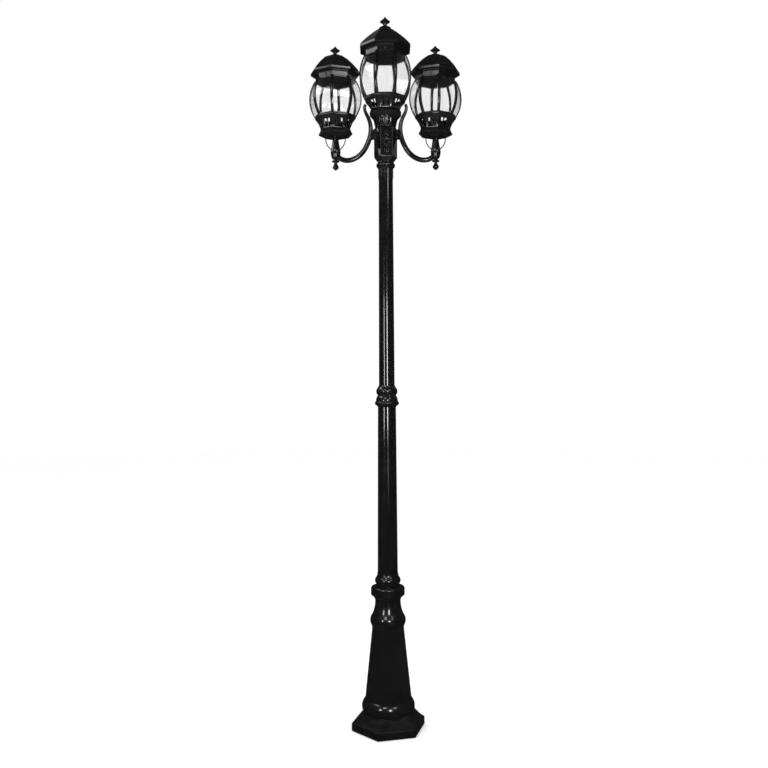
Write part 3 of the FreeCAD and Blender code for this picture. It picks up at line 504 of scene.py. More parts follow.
def tube_coat():
    """The black coat on drawn tube, with very fine lines along it."""
    material = black_coat("tube_black", 260.0, 0.000001, (0.10, 0.18), 0.02)
    tree = material.node_tree
    surface = next(node for node in tree.nodes if node.type == "BSDF_PRINCIPLED")
    skin = next(node for node in tree.nodes if node.type == "BUMP")
    lines, low = texture(tree, 0.012, Scale=700.0, Detail=2.0), reckon(tree, "MULTIPLY", 0.0000006)
    drawn = node_of(tree, "ShaderNodeBump", Strength=1.0, Distance=1.0)
    join(tree, (lines, 0, low, 0), (low, 0, drawn, "Height"), (skin, 0, drawn, "Normal"),
         (drawn, 0, surface, "Normal"))
    return material


TUBING = (tube_coat(), "black_post")


def tube(name, node, low_radius, taper_low, taper_high, high_radius):
    """A tapered tube as long as its node, with straight ends."""
    low, high = [corner.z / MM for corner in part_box(node)]
    outline = [(low_radius, low), (low_radius, taper_low), (high_radius, taper_high), (high_radius, high),
               (high_radius - TUBE_WALL, high), (high_radius - TUBE_WALL, taper_high),
               (low_radius - TUBE_WALL, taper_low), (low_radius - TUBE_WALL, low)]
    shell_piece(name, TUBING, "post", [node], outline, soft=0.5 * MM)


JOINT_LOW, JOINT_HIGH = [corner.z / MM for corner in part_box("mid_joint")]
ring_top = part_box("foot_ring")[1].z / MM
ferrule_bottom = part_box("post_ferrule")[0].z / MM
tube("lower_post_coated", "lower_post", 34.0, ring_top, JOINT_LOW, 30.4)
tube("upper_post_coated", "upper_post", 26.4, JOINT_HIGH, ferrule_bottom, 23.9)

# ------------------------ mid joint and ferrule
# Two turned castings: the joint takes a tube in each end, and the ferrule caps the upper tube
# under the hub. Both are held by grub screws and coated with the rest.
JOINT_OUTLINE = [(31.2, 0.0), (34.5, 5.5), (40.9, 13.5, 37.2, 19.5), (36.8, 22.5), (35.8, 29.0, 31.6, 37.5),
                 (30.9, 40.5), (35.8, 51.0, 33.5, 61.5), (29.4, 67.5), (27.6, 72.5), (26.6, 72.5),
                 (26.6, 36.0), (23.9, 36.0), (23.9, 30.0), (30.6, 30.0), (30.6, 0.0)]
FERRULE_OUTLINE = [(25.3, 0.0), (25.3, 31.0), (27.7, 36.0), (31.9, 43.0, 30.3, 48.0), (26.9, 53.0),
                   (26.9, 55.5), (21.4, 55.5), (21.4, 37.0), (24.1, 37.0), (24.1, 0.0)]
for name, node, outline in (("mid_joint_coated", "mid_joint", JOINT_OUTLINE),
                            ("post_ferrule_coated", "post_ferrule", FERRULE_OUTLINE)):
    shell_piece(name, CASTING, "post", [node], outline, soft=0.9 * MM, lift=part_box(node)[0].z)

# ------------------------ hub
# The hollow six-sided hub casting stands with a spigot in the ferrule and has a flat pad on each
# side for an arm. Its front and back carry the cast relief: traditional leaves round two bosses.
HUB_TURN = math.radians(5.7)
HUB_OUTLINE = [(28.6, 34.0), (39.6, 48.0), (39.6, 145.0), (38.6, 146.5), (5.2, 146.5), (5.2, 140.5),
               (33.5, 140.5), (33.5, 48.0), (12.0, 48.0), (12.0, 0.0), (21.2, 0.0), (21.2, 34.0)]
HUB_FLAT = 39.6 * math.cos(math.pi / 6.0) * MM
PAD_SIZE = (12.0, 18.0, 32.0)
PAD_REACH = 40.0
PAD_MIDDLE = 126.5
# each leaf: foot across and up from the relief's middle, direction in degrees, length, width, rise
RELIEF_LEAVES = [
    (0.0, 2.0, 90.0, 17.0, 9.0, 3.4), (2.0, 3.0, 38.0, 14.0, 8.0, 3.7), (3.0, -1.0, -18.0, 12.5, 7.0, 3.4),
    (1.5, -3.0, -58.0, 15.0, 8.0, 4.1), (0.0, -3.0, -90.0, 20.0, 9.0, 3.7), (1.0, 14.0, 58.0, 14.0, 7.5, 3.4),
    (0.0, 17.0, 90.0, 17.0, 8.0, 3.7), (1.0, 25.0, 50.0, 11.0, 6.0, 3.1), (0.0, 30.0, 90.0, 11.0, 5.5, 2.7),
    (1.0, -18.0, -55.0, 14.0, 7.5, 3.7), (0.0, -20.0, -90.0, 17.0, 8.0, 3.7),
    (1.0, -28.0, -50.0, 10.0, 5.5, 2.9), (0.0, -33.0, -90.0, 10.0, 5.5, 2.5)]
# each boss: across, up, radius, rise
RELIEF_BOSSES = [(5.8, 0.8, 4.0, 6.0), (3.6, 19.5, 2.3, 4.6), (2.6, 29.0, 1.9, 4.0), (3.2, -21.0, 2.2, 4.4),
                 (0.0, -9.0, 2.1, 4.6)]
RELIEF_MIDDLE = 95.0         # height of the relief's middle over the foot of the spigot
RELIEF_SINK = 0.8            # how deep its foot lies in the hub's side
HUB_SOFT = 2.5 * MM
UP = Vector((0, 0, 1))


def add_block(mesh, middle, size, soft):
    """Adds a block with rounded edges, in millimetres."""
    made = bmesh.ops.create_cube(mesh, size=1.0)["verts"]
    for corner in made:
        corner.co = Vector([(middle[axis] + corner.co[axis] * size[axis]) * MM for axis in range(3)])
    edges = list({edge for corner in made for edge in corner.link_edges})
    bmesh.ops.bevel(mesh, geom=edges, offset=soft, segments=3, profile=0.5, affect="EDGES")


def add_swell(mesh, across, along, place):
    """Adds a closed cushion over a grid; place(u, v) gives its top and its foot."""
    tops, feet = [], []
    for row in range(along + 1):
        for column in range(across + 1):
            top, foot = place(column / across * 2.0 - 1.0, row / along)
            tops.append(mesh.verts.new(top))
            feet.append(mesh.verts.new(foot))
    wide = across + 1
    for row in range(along):
        for column in range(across):
            a, b = row * wide + column, row * wide + column + 1
            mesh.faces.new((tops[a], tops[b], tops[b + wide], tops[a + wide]))
            mesh.faces.new((feet[a], feet[a + wide], feet[b + wide], feet[b]))
    rim = list(range(wide)) + [row * wide + across for row in range(1, along + 1)]
    rim += [along * wide + column for column in range(across - 1, -1, -1)]
    rim += [row * wide for row in range(along - 1, 0, -1)]
    for a, b in zip(rim, rim[1:] + rim[:1]):
        mesh.faces.new((tops[b], tops[a], feet[a], feet[b]))


def add_leaf(mesh, face, across, up, angle, length, width, rise):
    """Adds one leaf with a vein and a lobed edge, on a face given by its matrix."""
    ahead = Vector((math.cos(angle), math.sin(angle)))
    aside = Vector((-ahead.y, ahead.x))

    def place(side, share):
        lobes = 1.0 + 0.16 * math.cos(share * math.tau * 2.5)
        half = width * 0.5 * math.sin(math.pi * (0.08 + 0.9 * share) ** 0.85) * lobes
        spot = Vector((across, up)) + ahead * length * share + aside * half * side
        hump = (1.0 - side * side) ** 0.5 * math.sin(math.pi * (0.12 + 0.8 * share)) * rise
        vein = 0.45 * rise * math.exp(-(side * 5.0) ** 2) * (1.0 - share)
        curl = 0.5 * rise * share * share
        top, foot = Vector((spot.x, spot.y, hump - vein + curl)), Vector((spot.x, spot.y, -RELIEF_SINK))
        return face @ (top * MM), face @ (foot * MM)

    add_swell(mesh, 10, 12, place)


def add_boss(mesh, face, across, up, radius, rise):
    """Adds one round boss on a face."""
    def place(side, share):
        angle, reach = math.pi * side, radius * share
        spot = Vector((across + reach * math.cos(angle), up + reach * math.sin(angle), 0.0))
        dome = rise * math.sqrt(max(0.0, 1.0 - share * share))
        top, foot = spot + Vector((0, 0, dome)), spot - Vector((0, 0, RELIEF_SINK))
        return face @ (top * MM), face @ (foot * MM)

    add_swell(mesh, 20, 6, place)


hub_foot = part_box("hub_casting")[0].z
hub = bmesh.new()
add_shell(hub, HUB_OUTLINE, 6, HUB_TURN, HUB_SOFT, lift=hub_foot)
for side in (-1.0, 1.0):
    middle = (side * (PAD_REACH - PAD_SIZE[0] / 2.0), 0.0, hub_foot / MM + PAD_MIDDLE)
    add_block(hub, middle, PAD_SIZE, 0.8 * MM)
add_piece("hub_casting_coated", hub, CASTING, "post", "hub_casting")

relief = bmesh.new()
for out in (HUB_TURN + 1.5 * math.pi, HUB_TURN + 0.5 * math.pi):
    normal = facing_from(out)
    face = Matrix((UP.cross(normal), UP, normal)).transposed().to_4x4()
    face.translation = normal * HUB_FLAT + UP * (hub_foot + RELIEF_MIDDLE * MM)
    for foot, up, angle, length, width, rise in RELIEF_LEAVES:
        for hand in ((1.0,) if angle in (90.0, -90.0) else (1.0, -1.0)):
            turn = math.radians(angle if hand > 0 else 180.0 - angle)
            add_leaf(relief, face, foot * hand, up, turn, length, width, rise)
    for aside, up, radius, rise in RELIEF_BOSSES:
        for hand in ((1.0,) if aside == 0.0 else (1.0, -1.0)):
            add_boss(relief, face, aside * hand, up, radius, rise)
relief_piece = new_piece("hub_relief", relief)
relief_piece.data.shade_smooth()
relief_piece.data.set_sharp_from_angle(angle=math.radians(50.0))
dress(relief_piece, CASTING, "post")

# ------------------------ fluted neck
# The flaring cup between the hub and the top lantern, cast with sixteen hollow flutes. Nodes press
# the flutes into a turned form: each is a round hollow that fades out at both ends.
NECK_BAND = 3.0              # plain rim over and under the flutes
NECK_RADII = (35.0, 37.2, 43.0)
NECK_WAIST = 4.0             # the middle radius lies this far below half height
NECK_STEPS = 24
FLUTES, FLUTE_DEPTH = 16.0, 2.2
BORE = 5.2                   # radius of the cable way
CENTRE_PART = 10.0           # nothing within this radius is pressed


def flute_nodes():
    """Node tree: round hollows pressed into a turned form, evenly round the Z axis."""
    tree, inside, painted = shape_tree(
        "pressed_flutes", Count="Float", Depth="Float", Low="Float", High="Float", Inner_Radius="Float")

    def sum_of(kind, first, second):
        made = reckon(tree, kind)
        for place, value in enumerate((first, second)):
            if isinstance(value, float):
                made.inputs[place].default_value = value
            elif value is not None:
                tree.links.new(value, made.inputs[place])
        return made.outputs[0]

    position = node_of(tree, "GeometryNodeInputPosition")
    split = node_of(tree, "ShaderNodeSeparateXYZ")
    join(tree, (position, 0, split, 0))
    angle = sum_of("ARCTAN2", split.outputs["Y"], split.outputs["X"])
    wave = sum_of("COSINE", sum_of("MULTIPLY", angle, inside.outputs["Count"]), None)
    hollow = sum_of("POWER", sum_of("MAXIMUM", sum_of("ADD", sum_of("MULTIPLY", wave, 0.75), 0.25), 0.0), 0.5)
    length = sum_of("SUBTRACT", inside.outputs["High"], inside.outputs["Low"])
    share = sum_of("DIVIDE", sum_of("SUBTRACT", split.outputs["Z"], inside.outputs["Low"]), length)
    fade = sum_of("MULTIPLY", sum_of("MULTIPLY", share, sum_of("SUBTRACT", 1.0, share)), 9.0)
    kept = sum_of("MINIMUM", sum_of("MAXIMUM", fade, 0.0), 1.0)
    level = node_of(tree, "ShaderNodeCombineXYZ")
    join(tree, (split, "X", level, "X"), (split, "Y", level, "Y"))
    reach = node_of(tree, "ShaderNodeVectorMath", {"operation": "LENGTH"})
    join(tree, (level, 0, reach, 0))
    outer = sum_of("GREATER_THAN", reach.outputs["Value"], inside.outputs["Inner Radius"])
    there = sum_of("MULTIPLY", inside.outputs["Depth"], outer)
    depth = sum_of("MULTIPLY", sum_of("MULTIPLY", hollow, kept), there)
    away = node_of(tree, "ShaderNodeVectorMath", {"operation": "NORMALIZE"})
    join(tree, (level, 0, away, 0))
    push = node_of(tree, "ShaderNodeVectorMath", {"operation": "SCALE"})
    join(tree, (away, 0, push, 0))
    tree.links.new(sum_of("MULTIPLY", depth, -1.0), push.inputs["Scale"])
    pressed = node_of(tree, "GeometryNodeSetPosition")
    real = node_of(tree, "GeometryNodeRealizeInstances")
    join(tree, (inside, "Geometry", pressed, "Geometry"), (push, 0, pressed, "Offset"), (pressed, 0, real, 0),
         (real, 0, painted, "Geometry"))
    return tree


neck_low, neck_high = [corner.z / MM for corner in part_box("fluted_neck")]
neck_waist = (neck_low + neck_high) / 2.0 - NECK_WAIST
neck_curve = with_arcs([(NECK_RADII[0], neck_low), (NECK_RADII[1], neck_waist, NECK_RADII[2], neck_high)])
neck = bmesh.new()
neck_shape = []
for index in range(NECK_STEPS + 1):
    height = (neck_low + (neck_high - neck_low) * index / NECK_STEPS) * MM
    above = next(place for place, point in enumerate(neck_curve[1:], 1) if point.y >= height - 1e-9)
    below = neck_curve[above - 1]
    share = (height - below.y) / (neck_curve[above].y - below.y)
    neck_shape.append((below.x + (neck_curve[above].x - below.x) * share, height))
neck_shape += [(BORE * MM, neck_high * MM), (BORE * MM, neck_low * MM)]
add_rings(neck, [level_ring(0, radius, height, 0.0, 0.0, (0.0, 0.0)) for radius, height in neck_shape], True)
neck_piece = new_piece("fluted_neck_coated", neck)
set_inputs(neck_piece, flute_nodes(), {
    "Count": FLUTES, "Depth": FLUTE_DEPTH * MM, "Low": (neck_low + NECK_BAND) * MM,
    "High": (neck_high - NECK_BAND) * MM, "Inner Radius": CENTRE_PART * MM, "Finish": CAST_BLACK})
settle(neck_piece)
even_shading(neck_piece)
dress(neck_piece, CASTING, "post", "fluted_neck")

# ------------------------ arms, nipples and nuts
# The bowed aluminium arms keep their solids and get the castings' coat. Zinc plated threaded
# tubes hold them to the hub, each with a six-sided nut inside it. The zinc is bright, with a
# yellowish cast and small stains.
ZINC = clouded("zinc_plate", 180.0, 4.0, (0.62, 0.60, 0.54), (0.46, 0.44, 0.36), (0.25, 0.45))
for node in ("arm_left", "arm_right"):
    paint_node(node, CAST_BLACK)
for node in ("arm_nipples", "arm_nuts", "nipple_left", "nipple_top", "nipple_right"):
    paint_node(node, ZINC)

# ------------------------ stems, drop finials and wire braces
# Under each side lantern a cast vase-shaped stem takes the arm. A drop with a bead and an
# eight-sided ball screws into it from below, and four bowed wires brace the lantern's tray.
STEM_OUTLINE = [(6.0, -87.0), (7.5, -84.0), (12.5, -80.0, 14.5, -74.3), (16.8, -62.0, 15.8, -50.0),
                (13.0, -37.0), (9.6, -13.0), (5.2, -13.0), (5.2, -66.0), (3.2, -78.0), (3.2, -87.0)]
DROP_BEAD = [(5.0, -99.0), (5.0, -95.0), (10.8, -93.0), (12.8, -90.4, 11.2, -88.2), (6.0, -87.0),
             (3.0, -87.0), (3.0, -78.0)]
DROP_BALL = [(1.2, -121.3), (8.6, -115.5), (11.6, -111.0), (9.4, -105.0), (4.6, -98.5)]
BRACE_ARC = [(33.0, -11.5), (29.0, -33.0, 15.0, -50.0)]
BRACE_RADIUS, BRACE_SIDES = 1.7 * MM, 12
EIGHTH = math.pi / 8.0       # half the angle of one of eight sides
SIDE_TURN = math.radians(5.0)
# each lantern: how far it is turned, and its width and height against the side ones
LANTERNS = {"left": (-SIDE_TURN, 1.0, 1.0), "top": (EIGHTH, 1.04, 1.15), "right": (SIDE_TURN, 1.0, 1.0)}


def around_nodes():
    """Node tree: the piece repeated evenly round an upright axis."""
    tree, inside, painted = shape_tree("repeated_around", Count="Int", Axis="Vector", First_Turn="Float")
    places = node_of(tree, "GeometryNodePoints")
    number = node_of(tree, "GeometryNodeInputIndex")
    step = reckon(tree, "DIVIDE")
    step.inputs[0].default_value = math.tau
    angle = reckon(tree, "MULTIPLY_ADD")
    turn = node_of(tree, "ShaderNodeCombineXYZ")
    spread = node_of(tree, "GeometryNodeInstanceOnPoints")
    real = node_of(tree, "GeometryNodeRealizeInstances")
    moved = node_of(tree, "GeometryNodeTransform")
    join(tree, (inside, "Count", places, "Count"), (inside, "Count", step, 1), (number, 0, angle, 0),
         (step, 0, angle, 1), (inside, "First Turn", angle, 2), (angle, 0, turn, "Z"),
         (places, 0, spread, "Points"), (inside, "Geometry", spread, "Instance"),
         (turn, 0, spread, "Rotation"), (spread, 0, real, 0), (real, 0, moved, "Geometry"),
         (inside, "Axis", moved, "Translation"), (moved, 0, painted, "Geometry"))
    return tree


AROUND = around_nodes()


def axis_of(node):
    """Where a node's upright axis stands."""
    low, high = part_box(node)
    return (low.x + high.x) / 2.0, 0.0


def repeated(name, mesh, count, axis, first_turn, look, *nodes):
    """Makes a piece of the post out of a collected shape, repeated round an upright axis."""
    piece = new_piece(name, mesh)
    set_inputs(piece, AROUND, {"Count": count, "Axis": axis, "First Turn": first_turn, "Finish": look[0]})
    settle(piece)
    even_shading(piece)
    dress(piece, look, "post", *nodes)


def add_swept(mesh, path, section):
    """Adds a bar along a path in the XZ plane; the section holds (outward, sideways) pairs."""
    rings = []
    for index, point in enumerate(path):
        back, ahead = path[max(index - 1, 0)], path[min(index + 1, len(path) - 1)]
        along = (ahead - back).normalized()
        outward = Vector((along.y, -along.x))
        rings.append([Vector((point.x + out * outward.x, aside, point.y + out * outward.y))
                      for out, aside in section])
    add_rings(mesh, rings, False)


wire_angles = [math.tau * index / BRACE_SIDES for index in range(BRACE_SIDES)]
wire_section = [(BRACE_RADIUS * math.cos(angle), BRACE_RADIUS * math.sin(angle)) for angle in wire_angles]
for side in ("left", "right"):
    axis = axis_of("tray_" + side)
    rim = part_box("stem_" + side)[0].z - STEM_OUTLINE[0][1] * MM
    shell_piece("stem_coated_" + side, CASTING, "post", ["stem_" + side], STEM_OUTLINE, soft=0.7 * MM,
                centre=axis, lift=rim)
    drop = bmesh.new()
    add_shell(drop, DROP_BEAD, soft=0.6 * MM, loop=False, centre=axis, lift=rim)
    add_shell(drop, DROP_BALL, 8, EIGHTH, soft=0.6 * MM, loop=False, centre=axis, lift=rim)
    add_piece("drop_finial_coated_" + side, drop, CASTING, "post", "drop_finial_" + side)
    wires = bmesh.new()
    add_swept(wires, with_arcs(BRACE_ARC), wire_section)
    repeated("wire_braces_" + side, wires, 4, Vector((*axis, rim)), 0.0, CASTING, "braces_" + side)

# ------------------------ trays and pierced baskets
# Each lantern sits on an eight-sided cast saucer with a rolled rim. On it stands the pierced
# gallery, cast in one piece with its slots; the coat rounds the edges of every opening.
TRAY_OUTLINE = [(55.4, -3.0), (58.4, 0.0), (57.6, 1.5), (55.0, 7.0), (52.0, 12.0), (5.2, 12.0), (5.2, -13.0)]
# each tray: radius of its foot, and its width against the side ones
TRAY_FOOT = {"left": (22.0, 1.0), "top": (47.0, 0.99), "right": (22.0, 1.0)}
TRAY_DEEP = 13.0


def coated_copy(name, node, soft):
    """A copy of a cast node's flat-sided solid, its edges rounded as the coat rounds them."""
    mesh = bmesh.new()
    mesh.from_mesh(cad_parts[node].data)
    bmesh.ops.remove_doubles(mesh, verts=mesh.verts, dist=2e-6)
    bmesh.ops.dissolve_limit(mesh, angle_limit=math.radians(0.6), verts=mesh.verts, edges=mesh.edges)
    piece = new_piece(name, mesh)
    piece.data.shade_smooth()
    edges = piece.modifiers.new("coated_edges", "BEVEL")
    edges.width = soft
    edges.segments = 2
    edges.limit_method = "ANGLE"
    edges.angle_limit = math.radians(24.0)
    edges.harden_normals = True
    settle(piece)
    return piece


for side, (foot, tray_wide) in TRAY_FOOT.items():
    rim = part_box("tray_" + side)[0].z + TRAY_DEEP * MM
    shell_piece("tray_coated_" + side, CASTING, "post", ["tray_" + side], [(foot, -TRAY_DEEP)] + TRAY_OUTLINE,
                sides=8, turn=LANTERNS[side][0], soft=1.0 * MM, centre=axis_of("tray_" + side), lift=rim,
                wide=tray_wide)
    basket_piece = coated_copy("basket_coated_" + side, "basket_" + side, 0.5 * MM)
    dress(basket_piece, CASTING, "post", "basket_" + side)

# ------------------------ lampholders
# A black moulded holder for a bulb with a 27 mm screw cap, ribbed for grip, with a plated
# threaded sleeve inside. It stands on the tray, hidden by the basket.
HOLDER_OUTLINE = [(16.0, 0.0), (16.0, 6.0), (19.0, 10.0), (19.0, 44.0), (18.0, 46.0), (14.6, 46.0),
                  (14.6, 13.0), (5.2, 13.0), (5.2, 0.0)]
SLEEVE_OUTLINE = [(14.6, 15.0), (13.6, 15.0), (14.0, 17.0), (13.6, 19.0), (14.0, 21.0), (13.6, 23.0),
                  (14.0, 25.0), (13.6, 27.0), (14.0, 29.0), (13.6, 31.0), (13.6, 42.0), (14.6, 42.0)]
GRIP_RIB = [(18.6, 12.0), (18.6, 40.0)]
GRIP_SECTION = [(0.4, 0.7), (0.4, -0.7), (-1.0, -1.0), (-1.0, 1.0)]
GRIP_COUNT = 24


def holder_plastic():
    """Heat-proof black moulding with a fine dull grain."""
    material, tree, surface = empty_material("holder_plastic")
    grain = node_of(tree, "ShaderNodeGroup", {"node_tree": COAT_GRAIN}, Size=1400.0, Depth=0.00001)
    shade, dull = ramp(tree, 0.018, 0.030), ramp(tree, 0.45, 0.6)
    skin = node_of(tree, "ShaderNodeBump", Strength=1.0, Distance=1.0)
    join(tree, (grain, "Shade", shade, "Value"), (grain, "Shade", dull, "Value"),
         (grain, "Height", skin, "Height"), (shade, 0, surface, "Base Color"),
         (dull, 0, surface, "Roughness"), (skin, 0, surface, "Normal"))
    return material


MOULDING = (holder_plastic(), "lampholder_plastic")
for side in LANTERNS:
    axis, foot = axis_of("lampholder_" + side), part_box("lampholder_" + side)[0].z
    grips = bmesh.new()
    add_swept(grips, with_arcs(GRIP_RIB), [(out * MM, aside * MM) for out, aside in GRIP_SECTION])
    repeated("holder_grips_" + side, grips, GRIP_COUNT, Vector((*axis, foot)), 0.0, MOULDING)
    shell_piece("lampholder_moulded_" + side, MOULDING, "post", ["lampholder_" + side], HOLDER_OUTLINE,
                soft=0.6 * MM, centre=axis, lift=foot)
    shell_piece("holder_sleeve_" + side, (ZINC, "plated_steel"), "post", [], SLEEVE_OUTLINE, soft=0.5 * MM,
                centre=axis, lift=foot)

# ------------------------ cages and panes
# Eight curved ribs join a foot ring and a head ring in one casting, and a bent clear pane is
# seated behind each pair of ribs. Nodes repeat one rib round the lantern's axis.
RIB_SECTION = [(-3.0, -4.75), (0.5, -4.75), (0.9, -4.4), (1.0, -2.4), (1.5, -1.7), (1.5, 1.7), (1.0, 2.4),
               (0.9, 4.4), (0.5, 4.75), (-3.0, 4.75)]
GLASS_LOW, GLASS_BELLY, GLASS_HEAD = 62.5, 81.0, 64.0
BELLY_PLACE = 0.54
FOOT_RING = [(70.0, 0.0), (70.0, 4.0), (56.0, 4.0), (56.0, 0.0)]
HEAD_LIP = 6.0
HEAD_RING = [(70.0, -10.0), (70.0, -HEAD_LIP), (64.5, -HEAD_LIP), (64.5, 0.0), (56.0, 0.0), (56.0, -10.0)]


def clear_glass():
    """Clear bent glass: faint upright draw lines and a trace of grey where dust clings."""
    material, tree, surface = empty_material(
        "clear_glass", Metallic=0.0, Transmission_Weight=1.0, IOR=1.5)
    lines, low = texture(tree, 0.06, Scale=90.0, Detail=3.0), reckon(tree, "MULTIPLY", 0.00006)
    drawn = node_of(tree, "ShaderNodeBump", Strength=1.0, Distance=1.0)
    haze, tint = ramp(tree, 0.0, 0.06, 0.3, 0.7), ramp(tree, 0.99, 0.93, 0.3, 0.7)
    join(tree, (lines, 0, low, 0), (low, 0, drawn, "Height"), (drawn, 0, surface, "Normal"),
         (lines, 0, haze, "Value"), (haze, 0, surface, "Roughness"), (lines, 0, tint, "Value"),
         (tint, 0, surface, "Base Color"))
    return material


GLASS = clear_glass()
for side, (turn, wide, _) in LANTERNS.items():
    cage_low, cage_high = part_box("cage_" + side)
    axis = axis_of("cage_" + side)
    foot, head = cage_low.z / MM, cage_high.z / MM - HEAD_LIP
    corner = wide / math.cos(EIGHTH)
    belly = foot + (head - foot) * BELLY_PLACE
    curve = with_arcs([(GLASS_LOW * corner, foot), (GLASS_BELLY * corner, belly, GLASS_HEAD * corner, head)])
    rib = bmesh.new()
    add_swept(rib, curve, [(out * MM, aside * MM) for out, aside in RIB_SECTION])
    repeated("cage_ribs_" + side, rib, 8, Vector((*axis, 0.0)), turn, CASTING)
    rings = bmesh.new()
    for outline, height in ((FOOT_RING, cage_low.z), (HEAD_RING, cage_high.z)):
        add_shell(rings, outline, 8, turn, soft=0.8 * MM, centre=axis, lift=height, wide=wide)
    add_piece("cage_rings_" + side, rings, CASTING, "post", "cage_" + side)
    paint_node("panes_" + side, GLASS)

# ------------------------ roofs, finials and roof screws
# The hollow eight-sided roof casting drops over the head ring with its stepped skirt and lifts off
# with its diamond finial. Two round-headed screws through the skirt hold it down.
SKIRT_OUTER, SKIRT_INNER, SHELF_INNER = 67.5, 65.2, 60.0
SHELF_UP, SHELF_THICK = 6.0, 4.0
SKIRT_HIGH, STEP_RADIUS = 15.0, 73.0
EAVE = [(84.0, 19.0), (84.0, 27.0)]
SLOPES = {"left": [(74.0, 41.0), (58.0, 59.0), (43.0, 73.0), (33.0, 79.0)],
          "top": [(76.0, 36.0), (64.5, 47.0), (53.0, 57.0), (39.0, 68.0), (25.0, 78.0)]}
SLOPES["right"] = SLOPES["left"]
EAVE_WIDE = {"left": 1.0, "top": 1.088, "right": 1.0}
CAP_FOOT, CAP = 23.0, (18.5, 86.0)
ATTIC_EDGE = (73.5, 26.0)
ATTIC_WALL = 3.5
FINIAL_OUTLINE = [(8.5, 0.0), (5.6, 6.0), (8.5, 11.5), (17.9, 16.8), (11.5, 21.0), (5.5, 26.0), (0.8, 32.0)]
ROOF_SCREW = (2.0, 2.0, 3.4, 2.4)

for side, (turn, wide, tall) in LANTERNS.items():
    axis = axis_of("roof_" + side)
    lid = "lid_" + side
    spread = EAVE_WIDE[side] / wide
    slope = [(radius, height * tall) for radius, height in SLOPES[side]]
    outline = [(0.0, slope[-1][1] - ATTIC_WALL)]
    outline += [(radius - ATTIC_WALL, height - ATTIC_WALL) for radius, height in reversed(slope)]
    outline += [(ATTIC_EDGE[0], ATTIC_EDGE[1] * tall), (SHELF_INNER, SHELF_UP + SHELF_THICK),
                (SHELF_INNER, SHELF_UP), (SKIRT_INNER, SHELF_UP), (SKIRT_INNER, 0.0), (SKIRT_OUTER, 0.0),
                (SKIRT_OUTER, SKIRT_HIGH * tall), (STEP_RADIUS, SKIRT_HIGH * tall),
                (STEP_RADIUS, EAVE[0][1] * tall)]
    outline += [(radius * spread, height * tall) for radius, height in EAVE]
    outline += [(radius * spread, height) for radius, height in slope]
    outline += [(CAP_FOOT, slope[-1][1]), (CAP[0], CAP[1] * tall), (0.0, CAP[1] * tall)]
    finial = [(radius, height * tall) for radius, height in FINIAL_OUTLINE]
    for part, shape, soft in (("roof", outline, CAST_SOFT), ("finial", finial, 0.7 * MM)):
        node = part + "_" + side
        shell_piece(part + "_coated_" + side, CASTING, lid, [node], shape, sides=8, turn=turn, soft=soft,
                    loop=False, centre=axis, lift=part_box(node)[0].z, wide=wide)
    low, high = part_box("roof_screws_" + side)
    reach = (SKIRT_OUTER * math.cos(EIGHTH) * wide + ROOF_SCREW[3]) * MM
    places = []
    for half_turn in (0.0, math.pi):
        out = facing_from(turn - EIGHTH - math.pi / 2.0 + half_turn)
        places.append((Vector((*axis, (low.z + high.z) / 2.0)) + out * reach, out))
    screws("roof_screws_made_" + side, places, ROOF_SCREW, lid, "roof_screws_" + side)

# ------------------------ studio and camera
# A pale floor under plain white light. Soft lamps stand high on the left and in front, and slim
# ones in front, as the highlights show. Dark cards stand where only gloss sees them.
FLOOR_RADIUS = 12.0


def floor_white():
    """Matt white studio floor with a very faint unevenness."""
    material, tree, surface = empty_material("floor_white", Roughness=0.9, Specular_IOR_Level=0.1)
    cloud, shade = texture(tree, Scale=3.0), ramp(tree, 0.985, 1.0)
    join(tree, (cloud, 0, shade, "Value"), (shade, 0, surface, "Base Color"))
    return material


def card_black():
    """A black card that only mirrored rays meet, paler for those that pass through glass as well."""
    material, tree, both = empty_material("card_black", "ShaderNodeMixShader")
    rays = node_of(tree, "ShaderNodeLightPath")
    mirrored, paler = reckon(tree, "GREATER_THAN", 0.5), reckon(tree, "MULTIPLY_ADD", 5.0, 1.0)
    clear = node_of(tree, "ShaderNodeBsdfTransparent")
    dark = node_of(tree, "ShaderNodeEmission", Color=(0.02, 0.02, 0.02, 1.0))
    join(tree, (rays, "Glossy Depth", mirrored, 0), (rays, "Transmission Depth", paler, 0),
         (paler, 0, dark, "Strength"), (mirrored, 0, both, 0), (clear, 0, both, 1), (dark, 0, both, 2))
    return material


floor = bmesh.new()
bmesh.ops.create_circle(floor, cap_ends=True, segments=96, radius=FLOOR_RADIUS)
floor_piece = new_piece("studio_floor", floor)
floor_piece.data.materials.append(floor_white())

CARDS_LOW, CARDS_HIGH = Vector((-2.4, -4.2, 0.003)), Vector((2.4, 2.4, 5.0))
cards = bmesh.new()
card_sizes = Matrix.Diagonal((*(CARDS_HIGH - CARDS_LOW), 1.0))
bmesh.ops.create_cube(cards, size=1.0, matrix=Matrix.Translation((CARDS_LOW + CARDS_HIGH) / 2.0) @ card_sizes)
cards_piece = new_piece("studio_cards", cards)
cards_piece.data.materials.append(card_black())


def soft_lamp(name, place, aim, size, power):
    """A rectangular lamp that faces the post's axis at one height."""
    lamp = bpy.data.lights.new(name, "AREA")
    lamp.shape = "RECTANGLE"
    lamp.size, lamp.size_y = size
    lamp.energy = power
    holder = add_object(name, lamp)
    holder.location = place
    holder.rotation_euler = (Vector((0.0, 0.0, aim)) - Vector(place)).to_track_quat("-Z", "Y").to_euler()


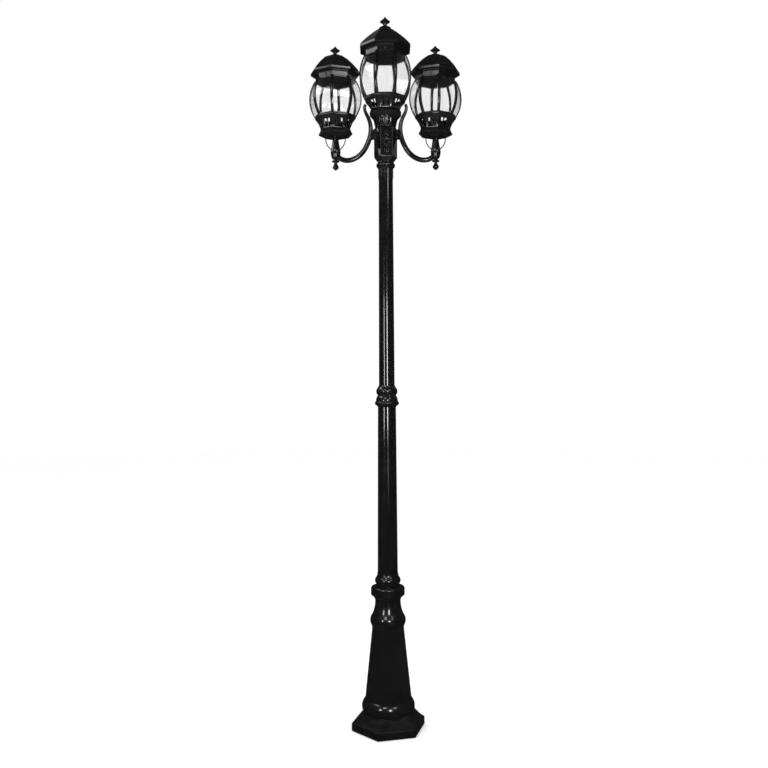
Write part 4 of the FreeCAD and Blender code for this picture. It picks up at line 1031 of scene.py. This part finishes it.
soft_lamp("left_soft_lamp", (-1.9, -0.1, 2.86), 2.3, (2.0, 0.8), 14.0)
soft_lamp("right_soft_lamp", (1.6, 0.9, 2.7), 2.2, (1.2, 0.8), 0.6)
soft_lamp("rear_soft_lamp", (-0.7, 2.2, 4.3), 2.2, (1.0, 0.9), 0.25)
soft_lamp("left_front_lamp", (-1.1, -3.0, 3.5), 2.1, (0.9, 0.9), 20.0)
soft_lamp("right_front_lamp", (1.7, -2.5, 2.9), 2.1, (0.7, 0.9), 12.0)
soft_lamp("left_slim_lamp", (-1.7, -2.35, 1.31), 1.31, (0.3, 0.86), 14.0)
soft_lamp("right_slim_lamp", (0.45, -2.95, 1.31), 1.31, (0.3, 0.86), 26.0)
soft_lamp("low_slim_lamp", (0.6, -2.95, 0.65), 0.65, (0.3, 0.4), 0.6)

world = bpy.data.worlds.new("studio_white")
world.use_nodes = True
world.node_tree.nodes["Background"].inputs["Color"].default_value = (1.0, 1.0, 1.0, 1.0)
world.node_tree.nodes["Background"].inputs["Strength"].default_value = 1.0
bpy.context.scene.world = world
bpy.context.scene.view_settings.view_transform = "Standard"

CAMERA_AWAY = 2.95           # from the post's axis
CAMERA_HEIGHT = 1.17
FRAME_PIXELS = 768.0
METRES_A_PIXEL = 0.003378    # at the post's axis
AXIS_PIXEL = 386.8           # where the photograph shows the axis, and the horizon
HORIZON_PIXEL = 380.8
LEAN = math.radians(0.29)    # the photograph's post leans this much
camera = bpy.data.cameras.new("camera")
camera.sensor_width = 36.0
camera.lens = CAMERA_AWAY / METRES_A_PIXEL * camera.sensor_width / FRAME_PIXELS
camera.shift_y = (HORIZON_PIXEL - FRAME_PIXELS / 2.0) / FRAME_PIXELS
holder = add_object("camera", camera)
holder.location = ((FRAME_PIXELS / 2.0 - AXIS_PIXEL) * METRES_A_PIXEL, -CAMERA_AWAY, CAMERA_HEIGHT)
holder.rotation_euler = (Matrix.Rotation(math.pi / 2.0, 3, "X") @ Matrix.Rotation(-LEAN, 3, "Z")).to_euler()
bpy.context.scene.camera = holder

bpy.context.view_layer.update()
